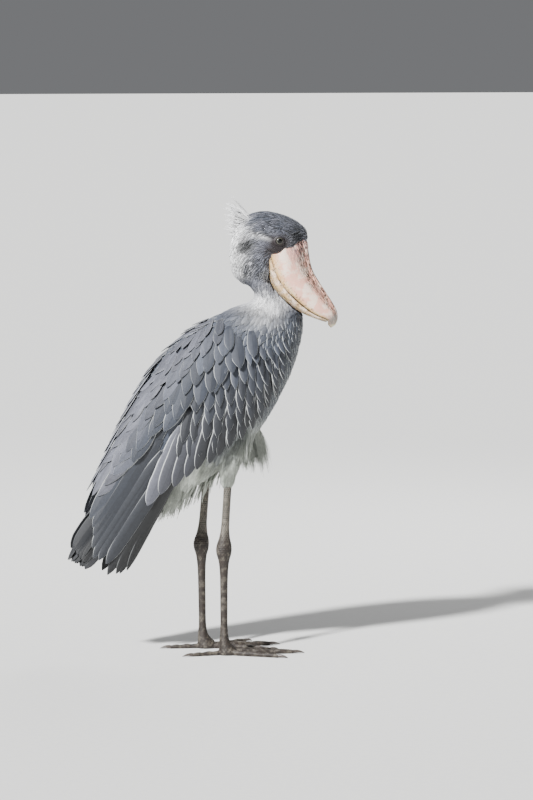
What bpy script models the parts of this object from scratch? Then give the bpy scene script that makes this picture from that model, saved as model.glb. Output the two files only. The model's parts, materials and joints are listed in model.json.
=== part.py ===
# A shoebill standing at rest, life size: a still model in metres, +Z up, the bird facing +X.
# The side view holds the design: lengths run aft along the body's sloping axis and dorsal at right angles to it.
import math
import random

import bmesh
import bpy
from mathutils import Matrix, Vector

# Driving dimensions of the whole bird
BODY_PITCH = math.radians(51.5)  # slope of the body's axis below the level
SHOULDER = Vector((0.149, 0, 0.747))  # start of the body's axis, in the breast
GAP = 0.0003  # clearance between neighbouring nodes
HEAD_TURN = math.radians(-16)  # the head looks a little to its right
TURN_AXIS = Vector((0.108, 0, 0))  # upright axis that the head turns about
BILL_PITCH = math.radians(55)  # slope of the bill below the level
GAPE = Vector((0.0352, 0, 0.9353))  # corner of the mouth, in the head's own upright plane

# Legs: heel and foot places, and the stance
LEG_SPREAD = 0.055
STEP = {"right": 0.0147, "left": -0.0147}
HEEL_X = {"right": 0.0147, "left": -0.0180}
SHANK_TOP_X = {"right": 0.0235, "left": -0.0065}
HEEL_HEIGHT = 0.253
THIGH_END = 0.392

SIDES = {"right": -1, "left": 1}

AFT = Vector((-math.cos(BODY_PITCH), 0, -math.sin(BODY_PITCH)))
DORSAL = Vector((-math.sin(BODY_PITCH), 0, math.cos(BODY_PITCH)))
LATERAL = Vector((0, 1, 0))

# Folded wings and body together: aft, back, belly, half width, squareness of the section
ENVELOPE = (
    (-0.076, 0.020, -0.022, 0.020, 2.0),
    (-0.050, 0.078, -0.046, 0.066, 2.0),
    (0.000, 0.122, -0.070, 0.101, 2.1),
    (0.050, 0.146, -0.086, 0.116, 2.2),
    (0.100, 0.163, -0.098, 0.124, 2.2),
    (0.150, 0.175, -0.106, 0.127, 2.3),
    (0.200, 0.182, -0.109, 0.127, 2.3),
    (0.250, 0.182, -0.105, 0.124, 2.4),
    (0.300, 0.176, -0.094, 0.116, 2.4),
    (0.350, 0.167, -0.080, 0.105, 2.5),
    (0.400, 0.157, -0.068, 0.093, 2.6),
    (0.450, 0.146, -0.062, 0.081, 2.7),
    (0.500, 0.134, -0.060, 0.070, 2.8),
    (0.550, 0.123, -0.062, 0.061, 2.8),
    (0.600, 0.112, -0.068, 0.053, 2.8),
    (0.650, 0.099, -0.074, 0.046, 2.8),
    (0.720, 0.082, -0.078, 0.039, 2.8),
)
WIDEST = 0.55  # how far up its section the envelope is widest

# The body under the wings: aft, back, belly, half width
TORSO = (
    (-0.080, 0.012, -0.014, 0.012),
    (-0.070, 0.040, -0.030, 0.036),
    (-0.050, 0.074, -0.043, 0.062),
    (0.000, 0.116, -0.066, 0.088),
    (0.050, 0.140, -0.082, 0.102),
    (0.100, 0.157, -0.093, 0.109),
    (0.150, 0.168, -0.101, 0.112),
    (0.200, 0.174, -0.104, 0.112),
    (0.250, 0.171, -0.102, 0.109),
    (0.300, 0.164, -0.094, 0.101),
    (0.350, 0.152, -0.082, 0.088),
    (0.400, 0.134, -0.066, 0.072),
    (0.440, 0.112, -0.052, 0.056),
    (0.470, 0.084, -0.040, 0.042),
)

# Ribs of the neck and head, in the head's own plane: place, throat x, z, nape x, z, half width, share of the turn
NECK = (
    (0.00, 0.100, 0.766, -0.040, 0.794, 0.066, 0.0),
    (0.20, 0.107, 0.796, -0.029, 0.823, 0.060, 0.1),
    (0.42, 0.077, 0.8175, -0.0115, 0.843, 0.050, 0.4),
    (0.62, 0.044, 0.849, -0.030, 0.867, 0.046, 0.8),
    (0.80, 0.0275, 0.881, -0.048, 0.895, 0.046, 1.0),
    (1.00, 0.012, 0.914, -0.048, 0.926, 0.046, 1.0),
)
HEAD = (
    (0.00, -0.0655, 0.918, -0.0655, 0.946, 0.014),
    (0.14, -0.0545, 0.886, -0.0555, 0.997, 0.044),
    (0.30, -0.0300, 0.866, -0.0300, 1.028, 0.0585),
    (0.48, -0.0020, 0.862, 0.0120, 1.0410, 0.0640),
    (0.64, 0.0160, 0.867, 0.0560, 1.0335, 0.0615),
    (0.80, 0.0200, 0.880, 0.0920, 1.0175, 0.0540),
    (0.92, 0.0240, 0.901, 0.1140, 0.9980, 0.0475),
    (1.00, 0.0310, 0.918, 0.1205, 0.9760, 0.0425),
)
CHEEK = 0.44  # how far up the head is widest

# Bill, along its own axis from the corner of the mouth: place, height
CULMEN = (
    (-0.020, 0.088),
    (0.021, 0.085),
    (0.039, 0.075),
    (0.071, 0.0605),
    (0.094, 0.0555),
    (0.124, 0.0540),
    (0.154, 0.0530),
    (0.183, 0.0510),
    (0.200, 0.0460),
    (0.211, 0.0370),
    (0.217, 0.0270),
)
MOUTH_LINE = (
    (-0.020, 0.0020),
    (0.000, 0.0000),
    (0.036, -0.0070),
    (0.069, -0.0085),
    (0.110, -0.0145),
    (0.128, -0.0135),
    (0.155, -0.0040),
    (0.175, 0.0085),
    (0.193, 0.0225),
    (0.200, 0.0235),
    (0.206, 0.0185),
    (0.217, 0.0165),
)
CHIN_LINE = (
    (-0.012, -0.0140),
    (0.014, -0.0230),
    (0.028, -0.0305),
    (0.050, -0.0390),
    (0.068, -0.0410),
    (0.091, -0.0380),
    (0.111, -0.0335),
    (0.131, -0.0275),
    (0.156, -0.0160),
    (0.178, -0.0020),
    (0.193, 0.0090),
    (0.200, 0.0150),
)
BILL_HALF_WIDTH = (
    (-0.020, 0.0420),
    (0.000, 0.0470),
    (0.030, 0.0510),
    (0.060, 0.0515),
    (0.100, 0.0480),
    (0.130, 0.0430),
    (0.160, 0.0350),
    (0.180, 0.0270),
    (0.195, 0.0190),
    (0.205, 0.0120),
    (0.212, 0.0070),
    (0.217, 0.0030),
)
# Half section of the upper bill, ridge to cutting edge: share of the half width, share of the height
BILL_SECTION = ((0.0, 1.0), (0.14, 0.975), (0.22, 0.88), (0.52, 0.76), (0.84, 0.52), (1.0, 0.20), (0.97, 0.0))
LOWER_SECTION = ((0.95, 1.0), (0.97, 0.55), (0.70, 0.14), (0.30, 0.0))

# Where the face ends and the horn of the bill begins on its side: along the bill and up it, from below
FACE_EDGE = ((0.070, -0.0330), (0.0345, -0.0241), (0.016, -0.0176), (0.0043, -0.0063), (-0.003, 0.0045),
             (0.001, 0.010), (0.0086, 0.033), (0.011, 0.053), (0.0105, 0.074), (0.018, 0.092))

EYE_PLACE = Vector((0.0525, 0, 0.9725))
EYE_RADIUS = 0.0115
LID_RADIUS = 0.0095
NOSTRIL = (0.030, 0.0625)  # along the bill and up it
NOSTRIL_SIZE = (0.0075, 0.0016, 0.0035)

draw = random.Random(11)


def clear_scene():
    for old in list(bpy.data.objects):
        bpy.data.objects.remove(old, do_unlink=True)


def finish(name, colour, roughness):
    """A plain surface of one colour."""
    material = bpy.data.materials.new(name)
    material.use_nodes = True
    shader = material.node_tree.nodes["Principled BSDF"]
    shader.inputs["Base Color"].default_value = (*colour, 1)
    shader.inputs["Roughness"].default_value = roughness
    shader.inputs["Metallic"].default_value = 0
    return material


def row_at(rows, at):
    """Reads a table of stations at any place between them, on a smooth curve."""
    last = len(rows) - 1
    k = min(last - 1, max(0, sum(1 for row in rows[1:] if row[0] <= at)))
    before, left = rows[max(k - 1, 0)], rows[k]
    right, after = rows[k + 1], rows[min(k + 2, last)]
    span = right[0] - left[0]
    t = min(1.0, max(0.0, (at - left[0]) / span))
    values = []
    for c in range(1, len(left)):
        rise = (right[c] - before[c]) / (right[0] - before[0]) * span
        fall = (after[c] - left[c]) / (after[0] - left[0]) * span
        change = right[c] - left[c]
        values.append(left[c] + t * (rise + t * (3 * change - 2 * rise - fall + t * (rise + fall - 2 * change))))
    return values if len(values) > 1 else values[0]


def spread(first, last, count):
    return [first + (last - first) * i / (count - 1) for i in range(count)]


def tube_mesh(name, rings, middled=True):
    """A closed mesh through rings of points, all in triangles, each end a fan about its middle or its first corner."""
    shape = bmesh.new()
    loops = [[shape.verts.new(p) for p in ring] for ring in rings]
    count = len(rings[0])
    for a, b in zip(loops, loops[1:]):
        for i in range(count):
            j = (i + 1) % count
            shape.faces.new((a[i], a[j], b[j]))
            shape.faces.new((a[i], b[j], b[i]))
    for loop in (loops[0], loops[-1]):
        if middled:
            middle = shape.verts.new(sum((v.co for v in loop), Vector()) / count)
            for i in range(count):
                shape.faces.new((loop[i], loop[(i + 1) % count], middle))
        else:
            for i in range(1, count - 1):
                shape.faces.new((loop[0], loop[i], loop[i + 1]))
    return mesh_object(name, shape)


def mesh_object(name, shape):
    bmesh.ops.recalc_face_normals(shape, faces=shape.faces)
    mesh = bpy.data.meshes.new(name)
    shape.to_mesh(mesh)
    shape.free()
    made = bpy.data.objects.new(name, mesh)
    bpy.context.scene.collection.objects.link(made)
    return made


def evaluated_copy(source):
    """The object's mesh with its modifiers applied."""
    graph = bpy.context.evaluated_depsgraph_get()
    return bpy.data.meshes.new_from_object(source.evaluated_get(graph))


def bake_modifiers(target):
    mesh = evaluated_copy(target)
    target.modifiers.clear()
    target.data = mesh


def surfaces_of(shape):
    """The closed surfaces of a mesh as lists of faces, the largest first."""
    unseen = set(shape.faces)
    islands = []
    while unseen:
        stack = [unseen.pop()]
        island = list(stack)
        while stack:
            for edge in stack.pop().edges:
                for face in edge.link_faces:
                    if face in unseen:
                        unseen.remove(face)
                        stack.append(face)
                        island.append(face)
        islands.append(island)
    islands.sort(key=lambda faces: -sum(face.calc_area() for face in faces))
    return islands


def keep_largest(target):
    """Keeps the largest closed surface of a mesh and drops sealed hollows and loose scraps."""
    shape = bmesh.new()
    shape.from_mesh(target.data)
    scraps = [face for island in surfaces_of(shape)[1:] for face in island]
    bmesh.ops.delete(shape, geom=scraps, context="FACES")
    bmesh.ops.triangulate(shape, faces=shape.faces)
    shape.to_mesh(target.data)
    shape.free()


def fuse(base, pieces):
    """Joins closed pieces to the base by one union, and removes them."""
    group = bpy.data.collections.new(base.name + "_pieces")
    bpy.context.scene.collection.children.link(group)
    for piece in pieces:
        bpy.context.scene.collection.objects.unlink(piece)
        group.objects.link(piece)
    union = base.modifiers.new("union", "BOOLEAN")
    union.operation = "UNION"
    union.operand_type = "COLLECTION"
    union.collection = group
    union.solver = "MANIFOLD"
    bake_modifiers(base)
    for piece in list(group.objects):
        bpy.data.objects.remove(piece, do_unlink=True)
    bpy.data.collections.remove(group)
    keep_largest(base)


def cut(target, cutters, keep=False):
    """Takes the cutters away from the target, and removes them unless they are kept."""
    for cutter in cutters:
        cutter.hide_render = True
        cutter.display_type = "WIRE"
        away = target.modifiers.new("cut", "BOOLEAN")
        away.operation = "DIFFERENCE"
        away.object = cutter
        away.solver = "MANIFOLD"
    bake_modifiers(target)
    if not keep:
        for cutter in cutters:
            bpy.data.objects.remove(cutter, do_unlink=True)


def dress(target, material, sharp=40):
    """Gives a node its material and smooth shading."""
    target.data.materials.clear()
    target.data.materials.append(material)
    target.data.shade_smooth()
    target.data.set_sharp_from_angle(angle=math.radians(sharp))


# Body surface
def body_point(aft, up, y=0.0):
    return SHOULDER + AFT * aft + DORSAL * up + LATERAL * y


def envelope_side(aft, up):
    """How far the folded wing's surface stands out at a place of the side view, and the terms of its slope."""
    back, belly, half_width, power = row_at(ENVELOPE, aft)
    middle = belly + WIDEST * (back - belly)
    height = back - middle if up > middle else middle - belly
    share = max(-0.985, min(0.985, (up - middle) / height))
    out = half_width * (1 - abs(share) ** power) ** (1 / power)
    return out, share, height, half_width, power


def envelope_at(aft, up, side, lift):
    """A point over the folded wing, and the way out of the surface there."""
    out, share, height, half_width, power = envelope_side(aft, up)
    back, belly = row_at(ENVELOPE, aft)[:2]
    middle = belly + WIDEST * (back - belly)
    up = middle + share * height
    step = 0.01
    rise_aft = (envelope_side(aft + step, up)[0] - envelope_side(aft - step, up)[0]) / (2 * step)
    pull_up = math.copysign(abs(share) ** (power - 1), share) / height
    pull_out = (out / half_width) ** (power - 1) / half_width
    outward = LATERAL * side * pull_out + DORSAL * pull_up - AFT * rise_aft * pull_out
    outward.normalize()
    return body_point(aft, up, side * out) + outward * lift, outward


def section_ring(aft, back, belly, half_width, power, count):
    """One closed section of the body, square to its axis."""
    middle = belly + WIDEST * (back - belly)
    ring = []
    for i in range(count):
        angle = 2 * math.pi * i / count
        c, s = math.cos(angle), math.sin(angle)
        y = half_width * math.copysign(abs(c) ** (2 / power), c)
        reach = back - middle if s > 0 else middle - belly
        ring.append(body_point(aft, middle + reach * math.copysign(abs(s) ** (2 / power), s), y))
    return ring


# Feathers
SHORT_VANE = ((0.0, 0.60), (0.42, 1.0), (0.78, 0.80), (1.0, 0.14))
LONG_VANE = ((0.0, 0.60), (0.35, 1.0), (0.70, 0.95), (0.92, 0.62), (1.0, 0.14))
TAIL_VANE = ((0.0, 0.60), (0.50, 0.90), (0.92, 0.80), (1.0, 0.20))
CREST_VANE = ((0.0, 0.9), (0.5, 1.0), (1.0, 0.16))
LOCK = ((0.0, 0.8), (0.35, 1.0), (0.72, 0.66), (1.0, 0.12))
COVERT_SINK = 0.0045  # how far a short vane's under face lies below it at the root, so that it stays fused


def vane(frames, half_width, outline, thickness=0.0007, ridge=0.0008, camber=0.0016, sunk=0.0):
    """A feather's vane: an arched blade with a raised shaft, through frames of point, way out and way across."""
    rings = []
    for (t, share), (point, out, across) in zip(outline, frames):
        w = half_width * share
        drop = out * camber * share
        edge = out * thickness
        under = out * sunk * (1 - t)
        rings.append(
            [
                point - across * w - drop - under,
                point - across * w - drop + edge,
                point + edge + out * ridge * (1 - 0.6 * t),
                point + across * w - drop + edge,
                point + across * w - drop - under,
            ]
        )
    return tube_mesh("vane", rings, middled=False)


def wing_vane(side, tip, length, turn, half_width, lifts, outline, roll):
    """A feather over the folded wing that ends at tip, in the side view, and lies turn degrees below the body's axis."""
    angle = math.radians(turn)
    aft, up = tip
    points = []
    for t, _ in outline:
        s = (1 - t) * length
        lift = lifts[0] + (lifts[1] - lifts[0]) * t
        points.append(envelope_at(aft - s * math.cos(angle), up + s * math.sin(angle), side, lift))
    frames = []
    c, s = math.cos(math.radians(roll)), math.sin(math.radians(roll))
    for i, (point, out) in enumerate(points):
        ahead = points[min(i + 1, len(points) - 1)][0] - points[max(i - 1, 0)][0]
        across = ahead.cross(out).normalized() * side
        out = (across.cross(ahead) * side).normalized()
        frames.append((point, out * c + across * s, across * c - out * s))
    return vane(frames, half_width, outline, sunk=COVERT_SINK if outline is SHORT_VANE else 0.0)


# Tiers of the folded wing, lowest first.
# Each: tips (place, aft, up), count, lengths, half widths, turns, lifts of root and tip,
# rise from feather to feather, outline
TIERS = (
    (((0, 0.155, -0.068), (0.4, 0.290, -0.055), (0.7, 0.384, -0.023), (1, 0.498, 0.011)),
     6, (0.120, 0.165), (0.022, 0.024), (30, 17), (-0.0060, -0.0015), 0.0003, LONG_VANE),  # secondaries
    (((0, 0.640, -0.060), (0.5, 0.664, -0.049), (1, 0.684, -0.021)),
     3, (0.250, 0.280), (0.0165, 0.0180), (15, 9), (-0.0080, -0.0060), 0.0012, LONG_VANE),  # primaries
    (((0, 0.120, -0.075), (0.35, 0.222, -0.073), (0.7, 0.328, -0.020), (1, 0.378, 0.043)),
     6, (0.074, 0.088), (0.0205, 0.0215), (40, 22), (-0.0040, 0.0010), 0, SHORT_VANE),  # greater coverts
    (((0, 0.668, -0.002), (0.35, 0.672, 0.033), (0.7, 0.628, 0.063), (1, 0.604, 0.094)),
     4, (0.225, 0.245), (0.0215, 0.0205), (6, 9), (-0.0045, 0.0005), 0.0006, LONG_VANE),  # tertials
    (((0, 0.085, -0.066), (0.4, 0.182, -0.040), (0.7, 0.248, -0.003), (1, 0.312, 0.047)),
     6, (0.064, 0.074), (0.0180, 0.0190), (44, 28), (-0.0030, 0.0030), 0, SHORT_VANE),  # median coverts
    (((0, 0.050, -0.057), (0.4, 0.125, -0.021), (0.7, 0.192, 0.016), (1, 0.252, 0.067)),
     5, (0.060, 0.068), (0.0180, 0.0190), (46, 32), (-0.0030, 0.0042), 0, SHORT_VANE),  # small coverts
    (((0, 0.018, -0.035), (0.5, 0.085, 0.009), (1, 0.160, 0.062)),
     3, (0.056, 0.062), (0.0200, 0.0205), (48, 36), (-0.0030, 0.0052), 0, SHORT_VANE),  # wing's leading edge
    (((0, 0.075, 0.046), (0.5, 0.205, 0.074), (1, 0.345, 0.100)),
     4, (0.085, 0.105), (0.0225, 0.0225), (38, 18), (-0.0030, 0.0058), 0, SHORT_VANE),  # lower scapulars
    (((0, 0.090, 0.100), (0.5, 0.250, 0.124), (1, 0.470, 0.110)),
     4, (0.095, 0.140), (0.0225, 0.0220), (26, 8), (-0.0030, 0.0068), 0, SHORT_VANE),  # upper scapulars
    (((0, 0.110, 0.140), (0.5, 0.290, 0.156), (1, 0.540, 0.108)),
     3, (0.110, 0.150), (0.0235, 0.0225), (10, 6), (-0.0030, 0.0060), 0, SHORT_VANE),  # edge of the back
    (((0, 0.130, 0.167), (0.5, 0.320, 0.170), (1, 0.565, 0.116)),
     3, (0.110, 0.150), (0.0230, 0.0215), (0, 10), (-0.0030, 0.0050), 0, SHORT_VANE),  # middle of the back
)

WING_STATIONS = (-0.022, 0.02, 0.08, 0.16, 0.24, 0.32, 0.40, 0.46, 0.505)
# Upper and lower edge of the wing's own body in the side view, and its thickness: aft, upper, lower, depth
WING_EDGES = (
    (-0.022, 0.074, 0.010, 0.0050),
    (0.020, 0.120, -0.022, 0.0110),
    (0.080, 0.150, -0.048, 0.0125),
    (0.160, 0.173, -0.056, 0.0135),
    (0.240, 0.178, -0.044, 0.0135),
    (0.320, 0.169, -0.018, 0.0135),
    (0.400, 0.154, 0.002, 0.0180),
    (0.460, 0.141, 0.016, 0.0180),
    (0.505, 0.126, 0.032, 0.0120),
)


def torso_side(aft, up):
    """How far the body's own surface stands out at a place of the side view."""
    back, belly, half_width = row_at(TORSO, aft)
    middle = belly + WIDEST * (back - belly)
    height = back - middle if up > middle else middle - belly
    share = abs(up - middle) / height
    return half_width * max(0.0, 1 - share**2.2) ** (1 / 2.2)


def wing_core(side):
    """The wing's own body: a shell over the flank, its inner face along the torso's."""
    rows = 9
    rings = []
    for aft in WING_STATIONS:
        upper, lower, depth = row_at(WING_EDGES, aft)
        heights = spread(upper, lower, rows)
        outer = [envelope_at(aft, up, side, 0.0)[0] for up in heights]
        inner = []
        for up in reversed(heights):
            out = envelope_side(aft, up)[0]
            deep = max(out - depth * (1.0 if lower < up < upper else 0.55), torso_side(aft, up) + 0.0008)
            inner.append(body_point(aft, up, side * min(deep, out - 0.0035)))
        rings.append(outer + inner)
    return tube_mesh("core", rings)


def wing(name, side, torso_room):
    pieces = []
    for tips, count, lengths, widths, turns, lifts, rise, outline in TIERS:
        for i in range(count):
            t = i / (count - 1)
            tip = [v + draw.uniform(-0.003, 0.003) for v in row_at(tips, t)]
            length = lengths[0] + (lengths[1] - lengths[0]) * t
            half_width = widths[0] + (widths[1] - widths[0]) * t
            turn = turns[0] + (turns[1] - turns[0]) * t + draw.uniform(-2.5, 2.5)
            roll = 6.0 + draw.uniform(-1, 1)
            raised = [lift + rise * i for lift in lifts]
            pieces.append(wing_vane(side, tip, length * draw.uniform(0.95, 1.05), turn, half_width, raised, outline, roll))
    made = wing_core(side)
    made.name = name
    fuse(made, pieces)
    cut(made, [torso_room], keep=True)
    keep_largest(made)
    return made


# Body, neck and head in one, then parted
def torso_rings(grow=0.0):
    rings = []
    for row in TORSO:
        aft, back, belly, half_width = row
        further = -grow if row is TORSO[0] else grow if row is TORSO[-1] else 0.0
        rings.append(section_ring(aft + further, back + grow, belly - grow, half_width + grow, 2.2, 22))
    return rings


def head_turned(point, share=1.0):
    turn = Matrix.Rotation(HEAD_TURN * share, 3, "Z")
    return TURN_AXIS + turn @ Vector((point[0], point[1], 0)) + Vector((0, 0, point[2]))


def rib_ring(low, high, half_width, widest, turn_share, count, power=2.1):
    """A section between a low and a high point of the head's plane, widest at a share of the way up."""
    ring = []
    for i in range(count):
        angle = 2 * math.pi * i / count
        c, s = math.cos(angle), math.sin(angle)
        up = math.copysign(abs(s) ** (2 / power), s)
        share = widest + up * ((1 - widest) if up > 0 else widest)
        x = low[0] + (high[0] - low[0]) * share
        z = low[1] + (high[1] - low[1]) * share
        y = half_width * math.copysign(abs(c) ** (2 / power), c)
        ring.append(head_turned((x, y, z), turn_share))
    return ring


def rib_loft(name, rows, rings, count, widest, whole_turn):
    made = []
    for t in spread(0.0, 1.0, rings):
        values = row_at(rows, t)
        share = 1.0 if whole_turn else values[5]
        made.append(rib_ring(values[0:2], values[2:4], values[4], widest, share, count))
    return tube_mesh(name, made)


def disc(name, centre, normal, radius, thickness):
    """A thin round cutter."""
    turn = normal.normalized().to_track_quat("Z", "Y").to_matrix()
    rings = []
    for height in (-thickness / 2, thickness / 2):
        ring = []
        for angle in spread(0, 2 * math.pi, 25)[:-1]:
            ring.append(centre + turn @ Vector((radius * math.cos(angle), radius * math.sin(angle), height)))
        rings.append(ring)
    return tube_mesh(name, rings)


def split_loose(source, names_by_height):
    """Parts a mesh into its closed surfaces, named from the lowest to the highest."""
    shape = bmesh.new()
    shape.from_mesh(source.data)
    islands = surfaces_of(shape)[: len(names_by_height)]
    islands.sort(key=lambda faces: min(v.co.z for face in faces for v in face.verts))
    made = []
    for name, island in zip(names_by_height, islands):
        part = bmesh.new()
        copies = {}
        for face in island:
            for v in face.verts:
                if v not in copies:
                    copies[v] = part.verts.new(v.co)
            part.faces.new([copies[v] for v in face.verts])
        made.append(mesh_object(name, part))
    shape.free()
    bpy.data.objects.remove(source, do_unlink=True)
    return made


# Bill
def bill_point(along, up, y=0.0):
    """A point of the bill's own frame in the world."""
    forward = Vector((math.cos(BILL_PITCH), 0, -math.sin(BILL_PITCH)))
    high = Vector((math.sin(BILL_PITCH), 0, math.cos(BILL_PITCH)))
    return head_turned(GAPE + forward * along + high * up + LATERAL * y)


BILL_STATIONS = (0.0, 0.010, 0.021, 0.039, 0.058, 0.080, 0.105, 0.130, 0.155, 0.176, 0.190, 0.198)


def face_room():
    """The room ahead of the face's edge, on both sides of the bill."""
    outline = [(0.25, 0.020)] + list(FACE_EDGE) + [(0.10, 0.120), (0.25, 0.120)]
    rings = [[bill_point(along, up, y) for along, up in outline] for y in (-0.09, 0.09)]
    return tube_mesh("face_room", rings, middled=False)


def upper_bill(name, grow=0.0):
    rings = []
    for along in BILL_STATIONS + (0.204, 0.2105, 0.2165):
        top = row_at(CULMEN, along) + grow
        low = row_at(MOUTH_LINE, along) - grow
        half_width = row_at(BILL_HALF_WIDTH, along) + grow
        half = [(half_width * across, low + (top - low) * up) for across, up in BILL_SECTION]
        place = along - grow if along == BILL_STATIONS[0] else along
        right = [bill_point(place, v, y) for y, v in half]
        left = [bill_point(place, v, -y) for y, v in reversed(half[1:])]
        rings.append(right + left)
    return tube_mesh(name, rings)


def lower_bill(name, grow=0.0, gap=0.0005):
    rings = []
    for along in BILL_STATIONS:
        top = row_at(MOUTH_LINE, along) - gap + grow
        low = row_at(CHIN_LINE, along) - grow
        half_width = row_at(BILL_HALF_WIDTH, along) + grow
        half = [(half_width * across, low + (top - low) * up) for across, up in LOWER_SECTION]
        place = along - grow if along == BILL_STATIONS[0] else along
        right = [bill_point(place, v, y) for y, v in half]
        left = [bill_point(place, v, -y) for y, v in reversed(half)]
        rings.append(right + left)
    return tube_mesh(name, rings)


def nostril(side):
    """The slit beside the ridge of the bill, as a cutter."""
    middle = bill_point(NOSTRIL[0], NOSTRIL[1] + 0.004, side * 0.0125)
    along = bill_point(NOSTRIL[0] + 0.01, NOSTRIL[1] + 0.0005, side * 0.0135) - middle
    slot = ball("nostril", Vector(), 1.0, 6, 8)
    turn = along.to_track_quat("X", "Z").to_matrix().to_4x4()
    slot.data.transform(Matrix.Translation(middle) @ turn @ Matrix.Diagonal((*NOSTRIL_SIZE, 1)))
    return slot


def ball(name, centre, radius, rings=7, count=12, axis=Vector((0, 0, 1))):
    turn = axis.normalized().to_track_quat("Z", "Y").to_matrix()
    made = []
    for polar in spread(math.pi * 0.06, math.pi * 0.94, rings):
        ring = []
        for angle in spread(0, 2 * math.pi, count + 1)[:-1]:
            spot = (math.sin(polar) * math.cos(angle), math.sin(polar) * math.sin(angle), math.cos(polar))
            ring.append(centre + turn @ Vector(spot) * radius)
        made.append(ring)
    return tube_mesh(name, made)


def head_surface(x, z, side):
    """Where a level line across the head meets its side, and the way out there."""
    best = None
    for t in spread(0.0, 1.0, 81):
        low_x, low_z, high_x, high_z, half_width = row_at(HEAD, t)
        length = math.hypot(high_x - low_x, high_z - low_z)
        across = abs((x - low_x) * (high_z - low_z) - (z - low_z) * (high_x - low_x)) / length
        share = ((x - low_x) * (high_x - low_x) + (z - low_z) * (high_z - low_z)) / length**2
        if best is None or across < best[0]:
            best = (across, share, half_width)
    share, half_width = best[1:]
    up = (share - CHEEK) / ((1 - CHEEK) if share > CHEEK else CHEEK)
    out = half_width * max(0.0, 1 - abs(up) ** 2.1) ** (1 / 2.1)
    return side * out


def eye_frame(side):
    """Centre of the eyeball and the way that the eye looks."""
    surface = head_surface(EYE_PLACE.x, EYE_PLACE.z, side)
    outward = Vector((0.30, side * 0.94, 0.10)).normalized()
    turned = Matrix.Rotation(HEAD_TURN, 3, "Z") @ outward
    centre = head_turned((EYE_PLACE.x, surface - side * (EYE_RADIUS * 0.62), EYE_PLACE.z))
    return centre, turned


def lid_ring(side):
    """The rim of the lids round the eye."""
    centre, outward = eye_frame(side)
    turn = outward.to_track_quat("Z", "Y").to_matrix()
    rim = centre + outward * (EYE_RADIUS * 0.62)
    profile = ((0.0, 0.0022), (0.0026, 0.0006), (0.0020, -0.0050), (-0.0020, -0.0050), (-0.0014, 0.0010))
    shape = bmesh.new()
    loops = []
    for angle in spread(0, 2 * math.pi, 13)[:-1]:
        way = Vector((math.cos(angle), 0.9 * math.sin(angle), 0))
        loop = []
        for out, up in profile:
            loop.append(shape.verts.new(rim + turn @ (way * (LID_RADIUS + out) + Vector((0, 0, up)))))
        loops.append(loop)
    for a, b in zip(loops, loops[1:] + loops[:1]):
        for i in range(len(profile)):
            j = (i + 1) % len(profile)
            shape.faces.new((a[i], a[j], b[j]))
            shape.faces.new((a[i], b[j], b[i]))
    return mesh_object("lid", shape)


def free_vane(root, way, length, half_width, flat, droop=0.0, outline=SHORT_VANE, thickness=0.0007):
    """A feather or lock that stands free: from root, along way, its face towards flat, bending down by droop."""
    way = way.normalized()
    across = way.cross(flat).normalized()
    out = across.cross(way).normalized()
    frames = []
    for t, _ in outline:
        point = root + way * (length * t) + Vector((0, 0, -droop * t * t))
        frames.append((point, out, across))
    return vane(frames, half_width, outline, thickness=thickness)


# Rows of the crest in the head's plane, front to back: x, z, length, rise in degrees
CREST = ((-0.014, 1.026, 0.054, 46), (-0.028, 1.014, 0.050, 47), (-0.038, 1.003, 0.046, 45), (-0.046, 0.992, 0.040, 42))


def crest():
    """The short tuft at the back of the crown."""
    pieces = []
    turn = Matrix.Rotation(HEAD_TURN, 3, "Z")
    for x, z, length, lift in CREST:
        for t in (-1, 0, 1):
            rise = math.radians(lift - 10 * abs(t) + draw.uniform(-7, 7))
            way = turn @ Vector((-math.cos(rise), 0.28 * t + draw.uniform(-0.08, 0.08), math.sin(rise)))
            root = head_turned(Vector((x + 0.004 * abs(t), 0.014 * t, z - 0.006 * t * t)))
            flat = turn @ Vector((math.sin(rise), 0, math.cos(rise)))
            length_here = length * draw.uniform(0.8, 1.1)
            pieces.append(free_vane(root, way, length_here, 0.0040, flat, outline=CREST_VANE))
    return pieces


FRONT_LOCKS = 7  # loose feathers in front of the legs
REAR_LOCKS = 9  # and behind them
LOCK_DEPTH = 0.0115  # how deep their roots lie in the belly


def belly_plumes():
    """Loose feathers that hang from the belly in front of the legs, and under the tail."""
    pieces = []
    for i in range(FRONT_LOCKS):
        t = i / (FRONT_LOCKS - 1)
        aft = 0.196 + 0.060 * t + draw.uniform(-0.004, 0.004)
        y = 0.008 * math.sin(i * 2.3)
        root = body_point(aft, row_at(TORSO, aft)[1] + LOCK_DEPTH, y)
        way = Vector((0.30 - 0.20 * t, 0.3 * y, -1))
        length = 0.108 - 0.026 * t + draw.uniform(-0.008, 0.008)
        flat = Vector((0.25, -1 if i % 2 else 1, 0))
        pieces.append(free_vane(root, way, length, 0.0105, flat, outline=LOCK))
    for i in range(REAR_LOCKS):
        t = i / (REAR_LOCKS - 1)
        aft = 0.285 + 0.115 * t
        y = 0.018 * math.sin(i * 2.4)
        root = body_point(aft, row_at(TORSO, aft)[1] + LOCK_DEPTH, y)
        way = Vector((-0.40 - 0.20 * t, 0.5 * y, -1))
        flat = Vector((0.4, -1 if i % 2 else 1, 0))
        pieces.append(free_vane(root, way, 0.060 + 0.012 * math.sin(i), 0.0115, flat, outline=LOCK))
    return pieces


def mantle():
    """Two files of feathers down the middle of the back, between the wings."""
    pieces = []
    for i in range(6):
        start = 0.024 + 0.056 * i
        end = start + 0.078
        root = body_point(start, row_at(TORSO, start)[0] - 0.0035)
        way = body_point(end, row_at(TORSO, end)[0] + 0.0035) - root
        pieces.append(free_vane(root, way, way.length, 0.0160, DORSAL))
    return pieces


# Tail
TAIL_ROOT = (0.436, 0.036)
TAIL_END = (0.716, 0.046)


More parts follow.
